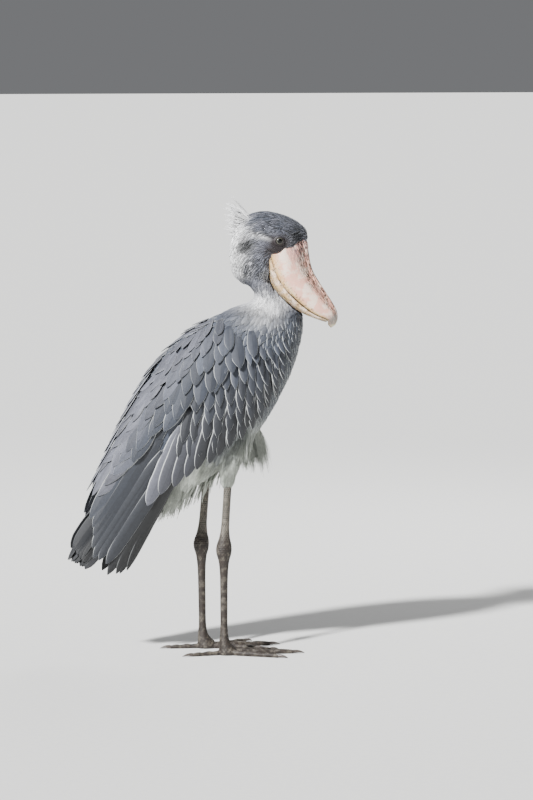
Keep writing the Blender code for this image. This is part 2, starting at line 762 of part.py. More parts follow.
def tail():
    """Twelve tail feathers in an arched fan over a short stump, with loose feathers under its root."""
    start = body_point(*TAIL_ROOT)
    way = (body_point(*TAIL_END) - start).normalized()
    up = way.cross(LATERAL).normalized()
    if up.dot(DORSAL) < 0:
        up = -up
    length = (body_point(*TAIL_END) - start).length
    rings = []
    for t, width, height in ((0.0, 0.034, 0.036), (0.14, 0.031, 0.032), (0.28, 0.026, 0.022), (0.46, 0.014, 0.008)):
        ring = []
        for angle in spread(0, 2 * math.pi, 17)[:-1]:
            ring.append(start + way * (t * length) + LATERAL * width * math.cos(angle) + up * height * math.sin(angle))
        rings.append(ring)
    stump = tube_mesh("tail", rings)
    pieces = []
    for i in range(12):
        t = (i - 5.5) / 5.5
        lean = abs(t)
        root = start + way * 0.045 + LATERAL * 0.022 * t + up * (0.020 - 0.026 * lean * lean)
        end = start + way * (length * (1.0 - 0.035 * lean)) + LATERAL * 0.024 * math.sin(1.3 * t)
        end += up * (0.020 - 0.042 * lean**1.6)
        tilt = 1.1 * t
        flat = up * math.cos(tilt) + LATERAL * math.sin(tilt)
        sink = flat * (-0.0016 if i % 2 else 0.0012)
        pieces.append(free_vane(root + sink, end - root, (end - root).length, 0.0140, flat, outline=TAIL_VANE))
    for i in range(5):
        root = start + way * (0.030 + 0.012 * i) - up * 0.020 + LATERAL * 0.014 * math.sin(2.4 * i)
        flat = Vector((0.4, -1 if i % 2 else 1, 0.2))
        pieces.append(free_vane(root, way - up * (0.62 - 0.05 * i), 0.085, 0.0115, flat, outline=LOCK))
    fuse(stump, pieces)
    return stump


# Legs
def round_ring(centre, half_x, half_y, count=12):
    angles = spread(0, 2 * math.pi, count + 1)[:-1]
    return [centre + Vector((half_x * math.cos(angle), half_y * math.sin(angle), 0)) for angle in angles]


# Thigh: height, forward offset, half length, half width
THIGH = ((0.392, 0.000, 0.0120, 0.0115), (0.412, 0.001, 0.0170, 0.0155), (0.445, 0.005, 0.0260, 0.0215),
         (0.480, 0.010, 0.0345, 0.0270), (0.520, 0.012, 0.0400, 0.0310), (0.560, 0.010, 0.0400, 0.0320))
# Shank from the feathers down to the heel joint: height, half length, half width
SHANK = ((0.3915, 0.0092, 0.0085), (0.350, 0.0090, 0.0082), (0.300, 0.0098, 0.0088), (0.276, 0.0130, 0.0110),
         (0.2640, 0.0165, 0.0130))
# Heel joint and tarsus: height, half length, half width
TARSUS = ((0.2637, 0.0168, 0.0132), (0.2530, 0.0185, 0.0142), (0.2400, 0.0175, 0.0138), (0.2220, 0.0125, 0.0108),
          (0.1900, 0.0095, 0.0088), (0.1100, 0.0085, 0.0080), (0.0550, 0.0088, 0.0092), (0.0320, 0.0125, 0.0125),
          (0.0160, 0.0210, 0.0165), (0.0050, 0.0245, 0.0185), (0.0000, 0.0225, 0.0165))
# How far the foot's sections lie ahead of the leg: height, forward
FOOT_SHIFT = ((0.000, 0.0110), (0.016, 0.0085), (0.032, 0.0015), (0.060, 0.0))


THIGH_LEAN = 0.10  # how far each thigh leans inwards for each metre up
THIGH_LOCKS = 7


def thigh(name, side, word, torso_room):
    base_x, y = SHANK_TOP_X[word], side * LEG_SPREAD

    def middle_at(z, off):
        return Vector((base_x + off, y - side * THIGH_LEAN * (z - THIGH_END), z))

    body = tube_mesh(name, [round_ring(middle_at(z, off), long, wide, 16) for z, off, long, wide in THIGH])
    pieces = []
    for i in range(THIGH_LOCKS):
        angle = 2 * math.pi * i / THIGH_LOCKS
        z = 0.418 + 0.018 * (i % 2)
        off, long, wide = row_at(THIGH, z)
        out = Vector((math.cos(angle), math.sin(angle), 0))
        root = middle_at(z, off) + Vector((long * math.cos(angle), wide * math.sin(angle), 0)) * 0.82
        length = 0.036 + draw.uniform(-0.004, 0.004)
        pieces.append(free_vane(root, Vector((0, 0, -1)) - out * 0.10, length, 0.0062, out, outline=LOCK))
    fuse(body, pieces)
    shank_room = shank("shank_room", side, word, 2 * GAP)
    cut(body, [shank_room])
    cut(body, [torso_room], keep=True)
    keep_largest(body)
    return body


def shank(name, side, word, grow=0.0):
    rings = []
    for z, long, wide in SHANK:
        t = (z - HEEL_HEIGHT) / (THIGH_END - HEEL_HEIGHT)
        x = HEEL_X[word] + (SHANK_TOP_X[word] - HEEL_X[word]) * t
        rings.append(round_ring(Vector((x, side * LEG_SPREAD, z)), long + grow, wide + grow))
    return tube_mesh(name, rings)


def tarsus(name, side, word, grow=0.0):
    rings = []
    for z, long, wide in TARSUS:
        t = 1 - z / HEEL_HEIGHT
        x = HEEL_X[word] + (STEP[word] - HEEL_X[word]) * t + row_at(FOOT_SHIFT, z)
        rings.append(round_ring(Vector((x, side * LEG_SPREAD, z - grow * (z == 0))), long + grow, wide + grow))
    return tube_mesh(name, rings)


# Toes: name, heading in degrees (out from straight ahead), length, thickness, and the claw's length
TOES = (("middle", 4, 0.140, 0.0125, 0.024), ("inner", -18, 0.100, 0.0115, 0.021),
        ("outer", 30, 0.108, 0.0115, 0.021), ("hind", 174, 0.072, 0.0105, 0.022))
# Along the toe: share of length, share of height, share of width
TOE_SHAPE = ((0.0, 1.00, 0.70), (0.15, 0.95, 0.86), (0.34, 0.80, 0.76), (0.44, 0.92, 0.88), (0.66, 0.70, 0.70),
             (0.76, 0.80, 0.80), (0.97, 0.60, 0.62))


def flat_ring(base, ahead, width, height, count=8):
    """A section that stands flat on the floor and is round above."""
    across = Vector((-ahead.y, ahead.x, 0))
    ring = [base + across * width * 0.62, base - across * width * 0.62]
    for angle in spread(-0.12 * math.pi, 1.12 * math.pi, count - 2):
        ring.append(base - across * width * math.cos(angle) + Vector((0, 0, height * (0.5 + 0.5 * math.sin(angle)))))
    return ring


CLAW_SHAPE = ((0.0, 1.0), (0.35, 0.82), (0.70, 0.50), (1.0, 0.12))
CLAW_HALF_WIDTH = 0.0036
CLAW_HALF_HEIGHT = 0.0038


def claw_piece(name, root, ahead, length):
    """A claw that leaves its toe level and comes down to the floor at its point."""
    across = Vector((-ahead.y, ahead.x, 0))
    rings = []
    for t, size in CLAW_SHAPE:
        drop = 0.0040 * (1 - t) + 0.0022 * math.sin(math.pi * t)
        middle = root + ahead * (length * t) + Vector((0, 0, 0.0012 + drop * 0.75))
        ring = []
        for turn in spread(0, 2 * math.pi, 7)[:-1]:
            p = middle + across * CLAW_HALF_WIDTH * size * math.cos(turn)
            ring.append(Vector((p.x, p.y, max(0.0, p.z + CLAW_HALF_HEIGHT * size * math.sin(turn)))))
        rings.append(ring)
    return tube_mesh(name, rings)


def toe_parts(side, word):
    made = []
    centre = Vector((STEP[word], side * LEG_SPREAD, 0))
    for toe, heading, length, thick, claw in TOES:
        angle = math.radians(heading) * side
        ahead = Vector((math.cos(angle), math.sin(angle), 0))
        start = 0.030 if toe != "hind" else 0.008
        rings = []
        for t, tall, broad in TOE_SHAPE:
            rings.append(flat_ring(centre + ahead * (start + t * length), ahead, thick * broad * 0.62, thick * tall * 1.15))
        piece = tube_mesh(f"toe_{toe}_{word}", rings)
        cut(piece, [tarsus("foot_room", side, word, GAP)])
        keep_largest(piece)
        made.append(piece)
        made.append(claw_piece(f"claw_{toe}_{word}", centre + ahead * (start + 0.97 * length + GAP), ahead, claw))
    return made


def build():
    clear_scene()
    slate = finish("slate_feather", (0.22, 0.235, 0.26), 0.75)
    dark = finish("dark_quill", (0.10, 0.105, 0.12), 0.6)
    pale = finish("pale_plume", (0.50, 0.52, 0.50), 0.85)
    horn = finish("bill_horn", (0.62, 0.47, 0.38), 0.45)
    scale = finish("leg_scale", (0.13, 0.12, 0.11), 0.7)
    claw = finish("claw_horn", (0.06, 0.055, 0.05), 0.4)
    gloss = finish("eye", (0.55, 0.55, 0.50), 0.1)

    whole = tube_mesh("whole", torso_rings())
    neck = rib_loft("neck_form", NECK, 8, 18, 0.5, False)
    skull = rib_loft("head_form", HEAD, 12, 18, CHEEK, True)
    cut(skull, [face_room()])
    fuse(whole, [neck, skull])
    neck_base = head_turned((0.030, 0, 0.8245), 0.2)
    neck_top = head_turned((-0.008, 0, 0.8740))
    slices = [
        disc("slice_low", neck_base, Vector((0.32, 0, 0.95)), 0.105, GAP),
        disc("slice_high", neck_top, Vector((-0.20, 0, 0.98)), 0.085, GAP),
    ]
    cut(whole, slices)
    torso, neck, head = split_loose(whole, ["torso", "neck", "head"])
    dress(neck, slate)

    bills = [upper_bill("bill_upper"), lower_bill("bill_lower")]
    rooms = [upper_bill("room_upper", GAP), lower_bill("room_lower", GAP)]
    for part in (torso, neck):
        cut(part, rooms, keep=True)
        keep_largest(part)
    lids = [lid_ring(side) for side in SIDES.values()]
    fuse(head, lids + crest())
    eyes = []
    for word, side in SIDES.items():
        centre, outward = eye_frame(side)
        eyes.append(ball(f"eye_{word}", centre, EYE_RADIUS, axis=outward))
        rooms.append(ball("room_eye", centre, EYE_RADIUS + GAP, axis=outward))
    cut(head, rooms)
    keep_largest(head)
    dress(head, slate)

    cut(bills[0], [nostril(side) for side in SIDES.values()])
    keep_largest(bills[0])
    for bill in bills:
        dress(bill, horn)
    for eye in eyes:
        dress(eye, gloss)

    torso_room = tube_mesh("torso_room", torso_rings(GAP + 0.0002))
    fuse(torso, belly_plumes() + mantle())
    dress(torso, slate)

    for word, side in SIDES.items():
        dress(wing(f"wing_{word}", side, torso_room), slate)
        dress(thigh(f"thigh_{word}", side, word, torso_room), pale)
        dress(shank(f"shank_{word}", side, word), scale)
        dress(tarsus(f"tarsus_{word}", side, word), scale)
        for piece in toe_parts(side, word):
            dress(piece, claw if piece.name.startswith("claw") else scale)
    rump = tail()
    cut(rump, [torso_room])  # its last use, so that it goes too
    keep_largest(rump)
    dress(rump, dark)
    stand_on_floor()


def stand_on_floor():
    """Moves every node alike, so that the middle of the whole lies over the origin and the soles at the floor."""
    nodes = [made for made in bpy.data.objects if made.type == "MESH"]
    corners = [v.co for made in nodes for v in made.data.vertices]
    low = [min(c[k] for c in corners) for k in range(3)]
    high = [max(c[k] for c in corners) for k in range(3)]
    away = Matrix.Translation((-(low[0] + high[0]) / 2, -(low[1] + high[1]) / 2, -low[2]))
    for made in nodes:
        made.data.transform(away)


build()
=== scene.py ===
import json
import math
import random

import bmesh
import bpy
import numpy as np
from mathutils import Matrix, Vector, noise

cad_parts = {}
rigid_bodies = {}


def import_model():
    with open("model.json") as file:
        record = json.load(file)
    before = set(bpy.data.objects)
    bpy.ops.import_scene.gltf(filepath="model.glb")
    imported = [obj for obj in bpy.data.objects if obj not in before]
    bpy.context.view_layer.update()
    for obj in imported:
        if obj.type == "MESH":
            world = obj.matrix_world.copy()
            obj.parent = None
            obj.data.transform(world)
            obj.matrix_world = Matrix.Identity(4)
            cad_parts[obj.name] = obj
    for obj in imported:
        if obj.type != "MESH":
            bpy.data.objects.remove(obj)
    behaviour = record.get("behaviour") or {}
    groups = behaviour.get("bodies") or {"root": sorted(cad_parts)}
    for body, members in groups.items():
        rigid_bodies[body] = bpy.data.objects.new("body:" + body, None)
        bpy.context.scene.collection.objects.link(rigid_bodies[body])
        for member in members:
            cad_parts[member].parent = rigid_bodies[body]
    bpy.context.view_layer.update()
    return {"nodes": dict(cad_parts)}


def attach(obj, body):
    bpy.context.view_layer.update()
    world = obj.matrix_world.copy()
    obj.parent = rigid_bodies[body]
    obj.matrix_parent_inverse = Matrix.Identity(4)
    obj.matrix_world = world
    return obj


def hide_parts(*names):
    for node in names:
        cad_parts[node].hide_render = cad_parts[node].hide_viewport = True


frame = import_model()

# A shoebill at rest, dressed over its solids: one skin, a coat of vanes, horn bill, scaly legs.
print("frame loaded,", len(frame["nodes"]), "nodes")

# the bird's own build, in the solids' frame
bird = {
    "bodyPitch": math.radians(51.5),  # slope of the body's axis below the level
    "shoulder": Vector((0.1789, 0, 0.747)),
    "headTurn": math.radians(-16),
    "turnAxis": Vector((0.1379, 0, 0)),
    "billPitch": math.radians(55),
    "gape": Vector((0.0352, 0, 0.9353)),
    "widest": 0.55,  # how far up the body it is widest
    "cheek": 0.44,  # how far up the head it is widest
    "legSpread": 0.055,
}
sides = {"right": -1, "left": 1}
aftWay = Vector((-math.cos(bird["bodyPitch"]), 0, -math.sin(bird["bodyPitch"])))
dorsalWay = Vector((-math.sin(bird["bodyPitch"]), 0, math.cos(bird["bodyPitch"])))
lateral = Vector((0, 1, 0))
headSpin = Matrix.Rotation(bird["headTurn"], 3, "Z")

# folded wings and body together: aft, back, belly, half width, squareness
envelopeRows = (
    (-0.076, 0.02, -0.022, 0.02, 2.0), (-0.05, 0.078, -0.046, 0.066, 2.0), (0.0, 0.122, -0.07, 0.101, 2.1),
    (0.05, 0.146, -0.086, 0.116, 2.2), (0.1, 0.163, -0.098, 0.124, 2.2), (0.15, 0.175, -0.106, 0.127, 2.3),
    (0.2, 0.182, -0.109, 0.127, 2.3), (0.25, 0.182, -0.105, 0.124, 2.4), (0.3, 0.176, -0.094, 0.116, 2.4),
    (0.35, 0.167, -0.08, 0.105, 2.5), (0.4, 0.157, -0.068, 0.093, 2.6), (0.45, 0.146, -0.062, 0.081, 2.7),
    (0.5, 0.134, -0.06, 0.07, 2.8), (0.55, 0.123, -0.062, 0.061, 2.8), (0.6, 0.112, -0.068, 0.053, 2.8),
    (0.65, 0.099, -0.074, 0.046, 2.8), (0.72, 0.082, -0.078, 0.039, 2.8),
)
# the body under the wings: aft, back, belly, half width
torsoRows = (
    (-0.08, 0.012, -0.014, 0.012), (-0.07, 0.04, -0.03, 0.036), (-0.05, 0.074, -0.043, 0.062),
    (0.0, 0.116, -0.066, 0.088), (0.05, 0.14, -0.082, 0.102), (0.1, 0.157, -0.093, 0.109),
    (0.15, 0.168, -0.101, 0.112), (0.2, 0.174, -0.104, 0.112), (0.25, 0.171, -0.102, 0.109),
    (0.3, 0.164, -0.094, 0.101), (0.35, 0.152, -0.082, 0.088), (0.4, 0.134, -0.066, 0.072),
    (0.44, 0.112, -0.052, 0.056), (0.47, 0.084, -0.04, 0.042),
)
# ribs of neck and head in the head's own plane: place, throat x z, nape x z, half width, share of the turn
neckRows = (
    (0.0, 0.1, 0.766, -0.04, 0.794, 0.066, 0.0), (0.2, 0.11, 0.796, -0.029, 0.823, 0.06, 0.1),
    (0.42, 0.083, 0.8175, -0.0085, 0.843, 0.05, 0.4), (0.62, 0.051, 0.849, -0.027, 0.867, 0.046, 0.8),
    (0.8, 0.033, 0.881, -0.046, 0.895, 0.046, 1.0), (1.0, 0.012, 0.914, -0.048, 0.926, 0.046, 1.0),
)
headRows = (
    (0.0, -0.0655, 0.918, -0.0655, 0.946, 0.014, 1.0), (0.14, -0.0545, 0.886, -0.0555, 0.997, 0.044, 1.0),
    (0.3, -0.03, 0.866, -0.03, 1.028, 0.0585, 1.0), (0.48, -0.002, 0.862, 0.012, 1.041, 0.064, 1.0),
    (0.64, 0.016, 0.867, 0.056, 1.0335, 0.0615, 1.0), (0.8, 0.02, 0.88, 0.092, 1.0175, 0.054, 1.0),
    (0.92, 0.024, 0.901, 0.114, 0.998, 0.0475, 1.0), (1.0, 0.031, 0.918, 0.1205, 0.976, 0.0425, 1.0),
)
# where the face ends and the horn begins, on the bill's side: up the bill, along it
faceEdge = ((-0.033, 0.07), (-0.0241, 0.0345), (-0.0176, 0.016), (-0.0063, 0.0043), (0.0045, -0.003), (0.01, 0.001),
            (0.033, 0.0086), (0.053, 0.011), (0.074, 0.0105), (0.092, 0.018))
thighRows = ((0.392, 0.0, 0.012, 0.0115), (0.412, 0.001, 0.017, 0.0155), (0.445, 0.005, 0.026, 0.0215),
             (0.48, 0.01, 0.0345, 0.027), (0.52, 0.012, 0.04, 0.031), (0.56, 0.01, 0.04, 0.032))
wingRows = ((-0.022, 0.074, 0.01, 0.005), (0.02, 0.12, -0.022, 0.011), (0.08, 0.15, -0.048, 0.0125),
            (0.16, 0.173, -0.056, 0.0135), (0.24, 0.178, -0.044, 0.0135), (0.32, 0.169, -0.018, 0.0135),
            (0.4, 0.154, 0.002, 0.018), (0.46, 0.141, 0.016, 0.018), (0.505, 0.126, 0.032, 0.012))
shankTop = {"right": 0.0534, "left": 0.0234}  # the leg's forward place where it leaves the feathers
heelAt = {"right": 0.0446, "left": 0.0119}
footAt = {"right": 0.0446, "left": 0.0152}
heelHeight = 0.253
thighEnd = 0.392


# shared shaping
def rowAt(rows, at):
    # a table of stations read on a smooth curve
    last = len(rows) - 1
    k = min(last - 1, max(0, sum(1 for row in rows[1:] if row[0] <= at)))
    before, left = rows[max(k - 1, 0)], rows[k]
    right, after = rows[k + 1], rows[min(k + 2, last)]
    span = right[0] - left[0]
    t = min(1.0, max(0.0, (at - left[0]) / span))
    values = []
    for c in range(1, len(left)):
        rise = (right[c] - before[c]) / (right[0] - before[0]) * span
        fall = (after[c] - left[c]) / (after[0] - left[0]) * span
        change = right[c] - left[c]
        values.append(left[c] + t * (rise + t * (3 * change - 2 * rise - fall + t * (rise + fall - 2 * change))))
    return values if len(values) > 1 else values[0]


def blend(first, last, share):
    return first + (last - first) * share


def spread(first, last, count):
    return [first + (last - first) * i / (count - 1) for i in range(count)]


def smoothStep(low, high, value):
    t = np.clip((value - low) / (high - low), 0, 1)
    return t * t * (3 - 2 * t)


def bump(distance, width):
    return np.exp(-0.5 * (distance / width) ** 2)


def bodyPoint(aft, up, y=0.0):
    return bird["shoulder"] + aftWay * aft + dorsalWay * up + lateral * y


def headTurned(point, share=1.0):
    turn = Matrix.Rotation(bird["headTurn"] * share, 3, "Z")
    return bird["turnAxis"] + turn @ Vector((point[0], point[1], 0)) + Vector((0, 0, point[2]))


def billPoint(along, up, y=0.0):
    c, s = math.cos(bird["billPitch"]), math.sin(bird["billPitch"])
    return headTurned(bird["gape"] + Vector((c, 0, -s)) * along + Vector((s, 0, c)) * up + lateral * y)


def inBody(points):
    # world places as aft, up and out from the midplane
    away = points - np.array(bird["shoulder"])
    return away @ np.array(aftWay), away @ np.array(dorsalWay), away[:, 1]


def spun(x, y, angle):
    c, s = math.cos(angle), math.sin(angle)
    return x * c + y * s, y * c - x * s


def inHead(points):
    away = points - np.array(bird["turnAxis"])
    return *spun(away[:, 0], away[:, 1], bird["headTurn"]), points[:, 2]


def inBill(points):
    x, y, z = inHead(points)
    return *spun(x - bird["gape"].x, z - bird["gape"].z, -bird["billPitch"]), y


def pastFace(along, height):
    # how far ahead of the face's edge a place lies
    return along - np.interp(height, *zip(*faceEdge))


def billWall(along, height):
    # half width of the bill at a place of its side, its ridge and its chin
    ridge = np.interp(along, [-0.02, 0.021, 0.039, 0.071, 0.094], [0.088, 0.085, 0.075, 0.0605, 0.0555])
    chin = np.interp(along, [-0.012, 0.028, 0.068, 0.111, 0.156, 0.2],
                     [-0.014, -0.0305, -0.041, -0.0335, -0.016, 0.015])
    half = np.interp(along, [-0.02, 0.0, 0.03, 0.06, 0.1, 0.13], [0.045, 0.05, 0.053, 0.053, 0.049, 0.043])
    share = np.interp(height / ridge, [-0.5, -0.36, -0.2, 0, 0.2, 0.52, 0.76, 0.88, 1.0],
                      [0.25, 0.7, 0.93, 0.975, 1.0, 0.84, 0.52, 0.22, 0.0])
    return half * share, ridge, chin


# meshes
def linked(name, mesh):
    made = bpy.data.objects.new(name, mesh)
    bpy.context.scene.collection.objects.link(made)
    return made


def meshOf(name, verts, faces, smooth=True):
    mesh = bpy.data.meshes.new(name)
    mesh.from_pydata([tuple(v) for v in verts], [], faces)
    mesh.update()
    if smooth:
        mesh.shade_smooth()
    return linked(name, mesh)


def reshaped(target, work, outward=True):
    # the mesh opened, worked on and closed again, its faces outward
    shape = bmesh.new()
    shape.from_mesh(target.data)
    if work:
        work(shape)
    if outward:
        bmesh.ops.recalc_face_normals(shape, faces=shape.faces)
    shape.to_mesh(target.data)
    shape.free()
    target.data.shade_smooth()
    return target


def softened(shape, verts, rounds=1):
    for _ in range(rounds):
        bmesh.ops.smooth_vert(shape, verts=verts, factor=0.5, use_axis_x=True, use_axis_y=True, use_axis_z=True)


def sleeve(count, rings, base=0):
    # the faces between neighbouring rings
    turns = [(i, (i + 1) % count) for i in range(count)]
    return [(a + i, a + j, a + count + j, a + count + i)
            for a in range(base, base + count * (rings - 1), count) for i, j in turns]


def tubeParts(rings):
    # closed tube through rings, with fans at its ends
    count = len(rings[0])
    verts = [spot for ring in rings for spot in ring]
    faces = sleeve(count, len(rings))
    for r, turn in ((0, -1), (len(rings) - 1, 1)):
        verts.append(sum((Vector(p) for p in rings[r]), Vector()) / count)
        faces += [(r * count + i, r * count + (i + 1) % count, len(verts) - 1)[::turn] for i in range(count)]
    return verts, faces


def tubeOf(name, rings):
    return reshaped(meshOf(name, *tubeParts(rings)),
                    lambda shape: bmesh.ops.remove_doubles(shape, verts=shape.verts, dist=1e-6))


def joined(name, parts):
    shape = bmesh.new()
    for part in parts:
        shape.from_mesh(part.data)
    mesh = bpy.data.meshes.new(name)
    shape.to_mesh(mesh)
    shape.free()
    for part in parts:
        bpy.data.objects.remove(part, do_unlink=True)
    return linked(name, mesh)


def settled(target):
    # the object's mesh with its modifiers made real
    graph = bpy.context.evaluated_depsgraph_get()
    mesh = bpy.data.meshes.new_from_object(target.evaluated_get(graph))
    target.modifiers.clear()
    target.data = mesh
    return target


def fusedByVoxels(target, size):
    melt = target.modifiers.new("melt", "REMESH")
    melt.mode = "VOXEL"
    melt.voxel_size = size
    return settled(target)


def places(target, field="co"):
    flat = np.zeros(len(target.data.vertices) * 3, np.float64)
    target.data.vertices.foreach_get(field, flat)
    return flat.reshape(-1, 3)


def movePlaces(target, points):
    target.data.vertices.foreach_set("co", np.asarray(points, np.float32).ravel())
    target.data.update()


def writeNote(target, name, kind, values):
    # an attribute on the mesh, read by node trees and materials
    field = {"FLOAT_VECTOR": "vector", "FLOAT_COLOR": "color", "FLOAT": "value"}[kind]
    made = target.data.attributes.new(name, kind, "POINT")
    made.data.foreach_set(field, np.asarray(values, np.float32).ravel())


def ringOf(count, place, power=2.0):
    # places round an oval, squarer as its power grows
    angles = [2 * math.pi * i / count for i in range(count)]
    return [place(*[math.copysign(abs(v) ** (2 / power), v) for v in (math.cos(a), math.sin(a))]) for a in angles]


# nodes
def addNode(tree, kind, settings=None, links=None):
    node = tree.nodes.new(kind)
    for key, value in (settings or {}).items():
        setattr(node, key, value)
    for key, value in (links or {}).items():
        if isinstance(value, bpy.types.NodeSocket):
            tree.links.new(value, node.inputs[key])
        else:
            node.inputs[key].default_value = value
    return node


def mathOf(tree, operation, *values):
    return addNode(tree, "ShaderNodeMath", {"operation": operation}, dict(enumerate(values))).outputs[0]


def timesOf(tree, first, *others):
    for other in others:
        first = mathOf(tree, "MULTIPLY", first, other)
    return first


def vectorOf(tree, operation, *values):
    return addNode(tree, "ShaderNodeVectorMath", {"operation": operation}, dict(enumerate(values))).outputs[0]


def scaledOf(tree, vector, factor):
    return addNode(tree, "ShaderNodeVectorMath", {"operation": "SCALE"}, {0: vector, "Scale": factor}).outputs[0]


def partsOf(tree, vector):
    return addNode(tree, "ShaderNodeSeparateXYZ", None, {0: vector}).outputs


def joinedOf(tree, *values):
    return addNode(tree, "ShaderNodeCombineXYZ", None, dict(enumerate(values))).outputs[0]


def rampOf(tree, value, low=0.0, high=1.0, first=0.0, last=1.0, shape="LINEAR"):
    return addNode(tree, "ShaderNodeMapRange", {"interpolation_type": shape}, {
        0: value, 1: low, 2: high, 3: first, 4: last}).outputs[0]


def noiseOf(tree, at, scale, detail=2.0, rough=0.5, **settings):
    return addNode(tree, "ShaderNodeTexNoise", settings, {
        "Vector": at, "Scale": scale, "Detail": detail, "Roughness": rough}).outputs[0]


def mixOf(tree, share, first, second):
    return addNode(tree, "ShaderNodeMix", {"data_type": "RGBA"}, {0: share, 6: first, 7: second}).outputs[2]


def noteOf(tree, name, output="Vector"):
    return addNode(tree, "ShaderNodeAttribute", {"attribute_name": name}).outputs[output]


def objectOf(tree):
    return addNode(tree, "ShaderNodeTexCoord").outputs["Object"]


def hexLinear(code):
    # sRGB hex to the linear values that shaders take
    values = [int(code[i : i + 2], 16) / 255 for i in (1, 3, 5)]
    return [v / 12.92 if v <= 0.04045 else ((v + 0.055) / 1.055) ** 2.4 for v in values]


def inksOf(**codes):
    return {name: (*hexLinear(code), 1) for name, code in codes.items()}


def startFinish(name, roughness, **sockets):
    made = bpy.data.materials.new(name)
    made.use_nodes = True
    for key, value in {"Roughness": roughness, **sockets}.items():
        made.node_tree.nodes["Principled BSDF"].inputs[key.replace("_", " ")].default_value = value
    return made, made.node_tree


def endFinish(made, tint, height=None, strength=0.0, distance=0.0, **sockets):
    # colour and relief set on the shader
    tree = made.node_tree
    if height:
        sockets["Normal"] = addNode(tree, "ShaderNodeBump", None, {
            "Height": height, "Strength": strength, "Distance": distance}).outputs[0]
    for key, socket in {"Base Color": tint, **sockets}.items():
        tree.links.new(socket, tree.nodes["Principled BSDF"].inputs[key])
    return made


# colours of the plumage; the breast's, a little darker and greener than slate, is partly painted shade with a faint
# painted green reflection
plumageColours = {
    "slate": "#474d5a", "slateDark": "#1e2128", "quill": "#0f1114", "lilac": "#727480", "nearWhite": "#ffffff",
    # the grey 2e2f31 serves both as dark markings and as painted shade in the hollow behind the ear coverts
    "fringe": "#e6e9e8", "plume": "#c6cbc1", "breast": "#434951", "darkMarkAndShade": "#2e2f31", "bareSkin": "#2b2426",
}
inks = {name: np.array(hexLinear(code)) for name, code in plumageColours.items()}


def mottleAt(points, scale, shift):
    # blotches of one size from place alone, about 0 on average
    return np.array([noise.noise(Vector(p) * scale + Vector((shift, 0, 0))) for p in points])


def tintsAt(points):
    # markings of skin and coat alike, with painted shade on the underside and in the hollow behind the ear coverts, as
    # functions of place on the bird
    aft, up, _ = inBody(points)
    hx, _, hz = inHead(points)
    tint = np.tile(inks["slate"], (len(points), 1))

    def lay(name, share):
        nonlocal tint
        tint = tint + (inks[name] - tint) * np.clip(share, 0, 1)[:, None]

    def spot(x, wide, z, high):
        return bump(hx - x, wide) * bump(hz - z, high)

    low = smoothStep(-0.03, -0.1, up) * smoothStep(0.12, 0.24, aft)
    body = smoothStep(0.84, 0.78, hz)
    # painted shade: the underside is laid in the breast colour, slate a little darker and greener
    lay("breast", smoothStep(0.05, -0.05, up) * body)
    lay("plume", np.maximum(low, smoothStep(0.5, 0.46, points[:, 2]) * smoothStep(0.02, -0.02, up)) * body)
    blotch, fleck = mottleAt(points, 60, 3.0), mottleAt(points, 190, 9.0)
    lay("lilac", smoothStep(0.8, 0.83, hz) * 0.8)
    lay("nearWhite", 0.95 * spot(0.02, 0.034, 0.828, 0.02) * smoothStep(0.09, 0.05, hx))
    head = smoothStep(0.872, 0.9, hz)
    lay("nearWhite", smoothStep(0.012, -0.045, hx) * head * (0.95 - 0.25 * smoothStep(0.93, 0.89, hz)))
    crown = smoothStep(0.986, 1.008, hz + 0.25 * (hx - 0.02)) * smoothStep(-0.05, 0.022, hx)
    lay("slate", crown * (0.6 + 1.8 * blotch))
    lay("lilac", crown * (0.25 + 2.4 * mottleAt(points, 150, 5.0)))
    lay("slateDark", crown * (0.3 + 2.6 * fleck) * smoothStep(-0.03, 0.03, hx))
    lay("slateDark", 0.75 * head * spot(0.1, 0.018, 0.994, 0.013))
    lay("slateDark", head * spot(0.003, 0.025, 0.914, 0.022) * (0.85 + 2.6 * fleck + 1.2 * blotch))
    lay("nearWhite", 0.75 * head * spot(0.036, 0.011, 0.886, 0.013))
    # dark line back from the eye over the ear coverts, with their pale edge under it
    off = hz - (0.98 + 0.022 * np.clip((0.042 - hx) / 0.05, 0, 1))
    ends = smoothStep(0.052, 0.04, hx) * smoothStep(-0.018, -0.004, hx) * head
    lay("nearWhite", 0.55 * ends * bump(off + 0.0075, 0.004))
    lay("darkMarkAndShade", 0.85 * ends * bump(off, 0.0028))
    # painted shade: the hollow behind the ear coverts is laid dark grey
    lay("darkMarkAndShade", np.minimum(1.0, 1.35 * spot(-0.018, 0.0135, 0.9675, 0.012)) * head)
    lay("bareSkin", head * np.clip(1.5 * spot(0.055, 0.019, 0.969, 0.0125), 0, 1))
    lay("bareSkin", head * np.clip(1.5 * spot(0.055, 0.022, 0.951, 0.008), 0, 1))
    lay("darkMarkAndShade", 0.6 * head * spot(0.092, 0.012, 0.975, 0.012))
    return np.concatenate([tint, np.ones((len(points), 1))], 1)


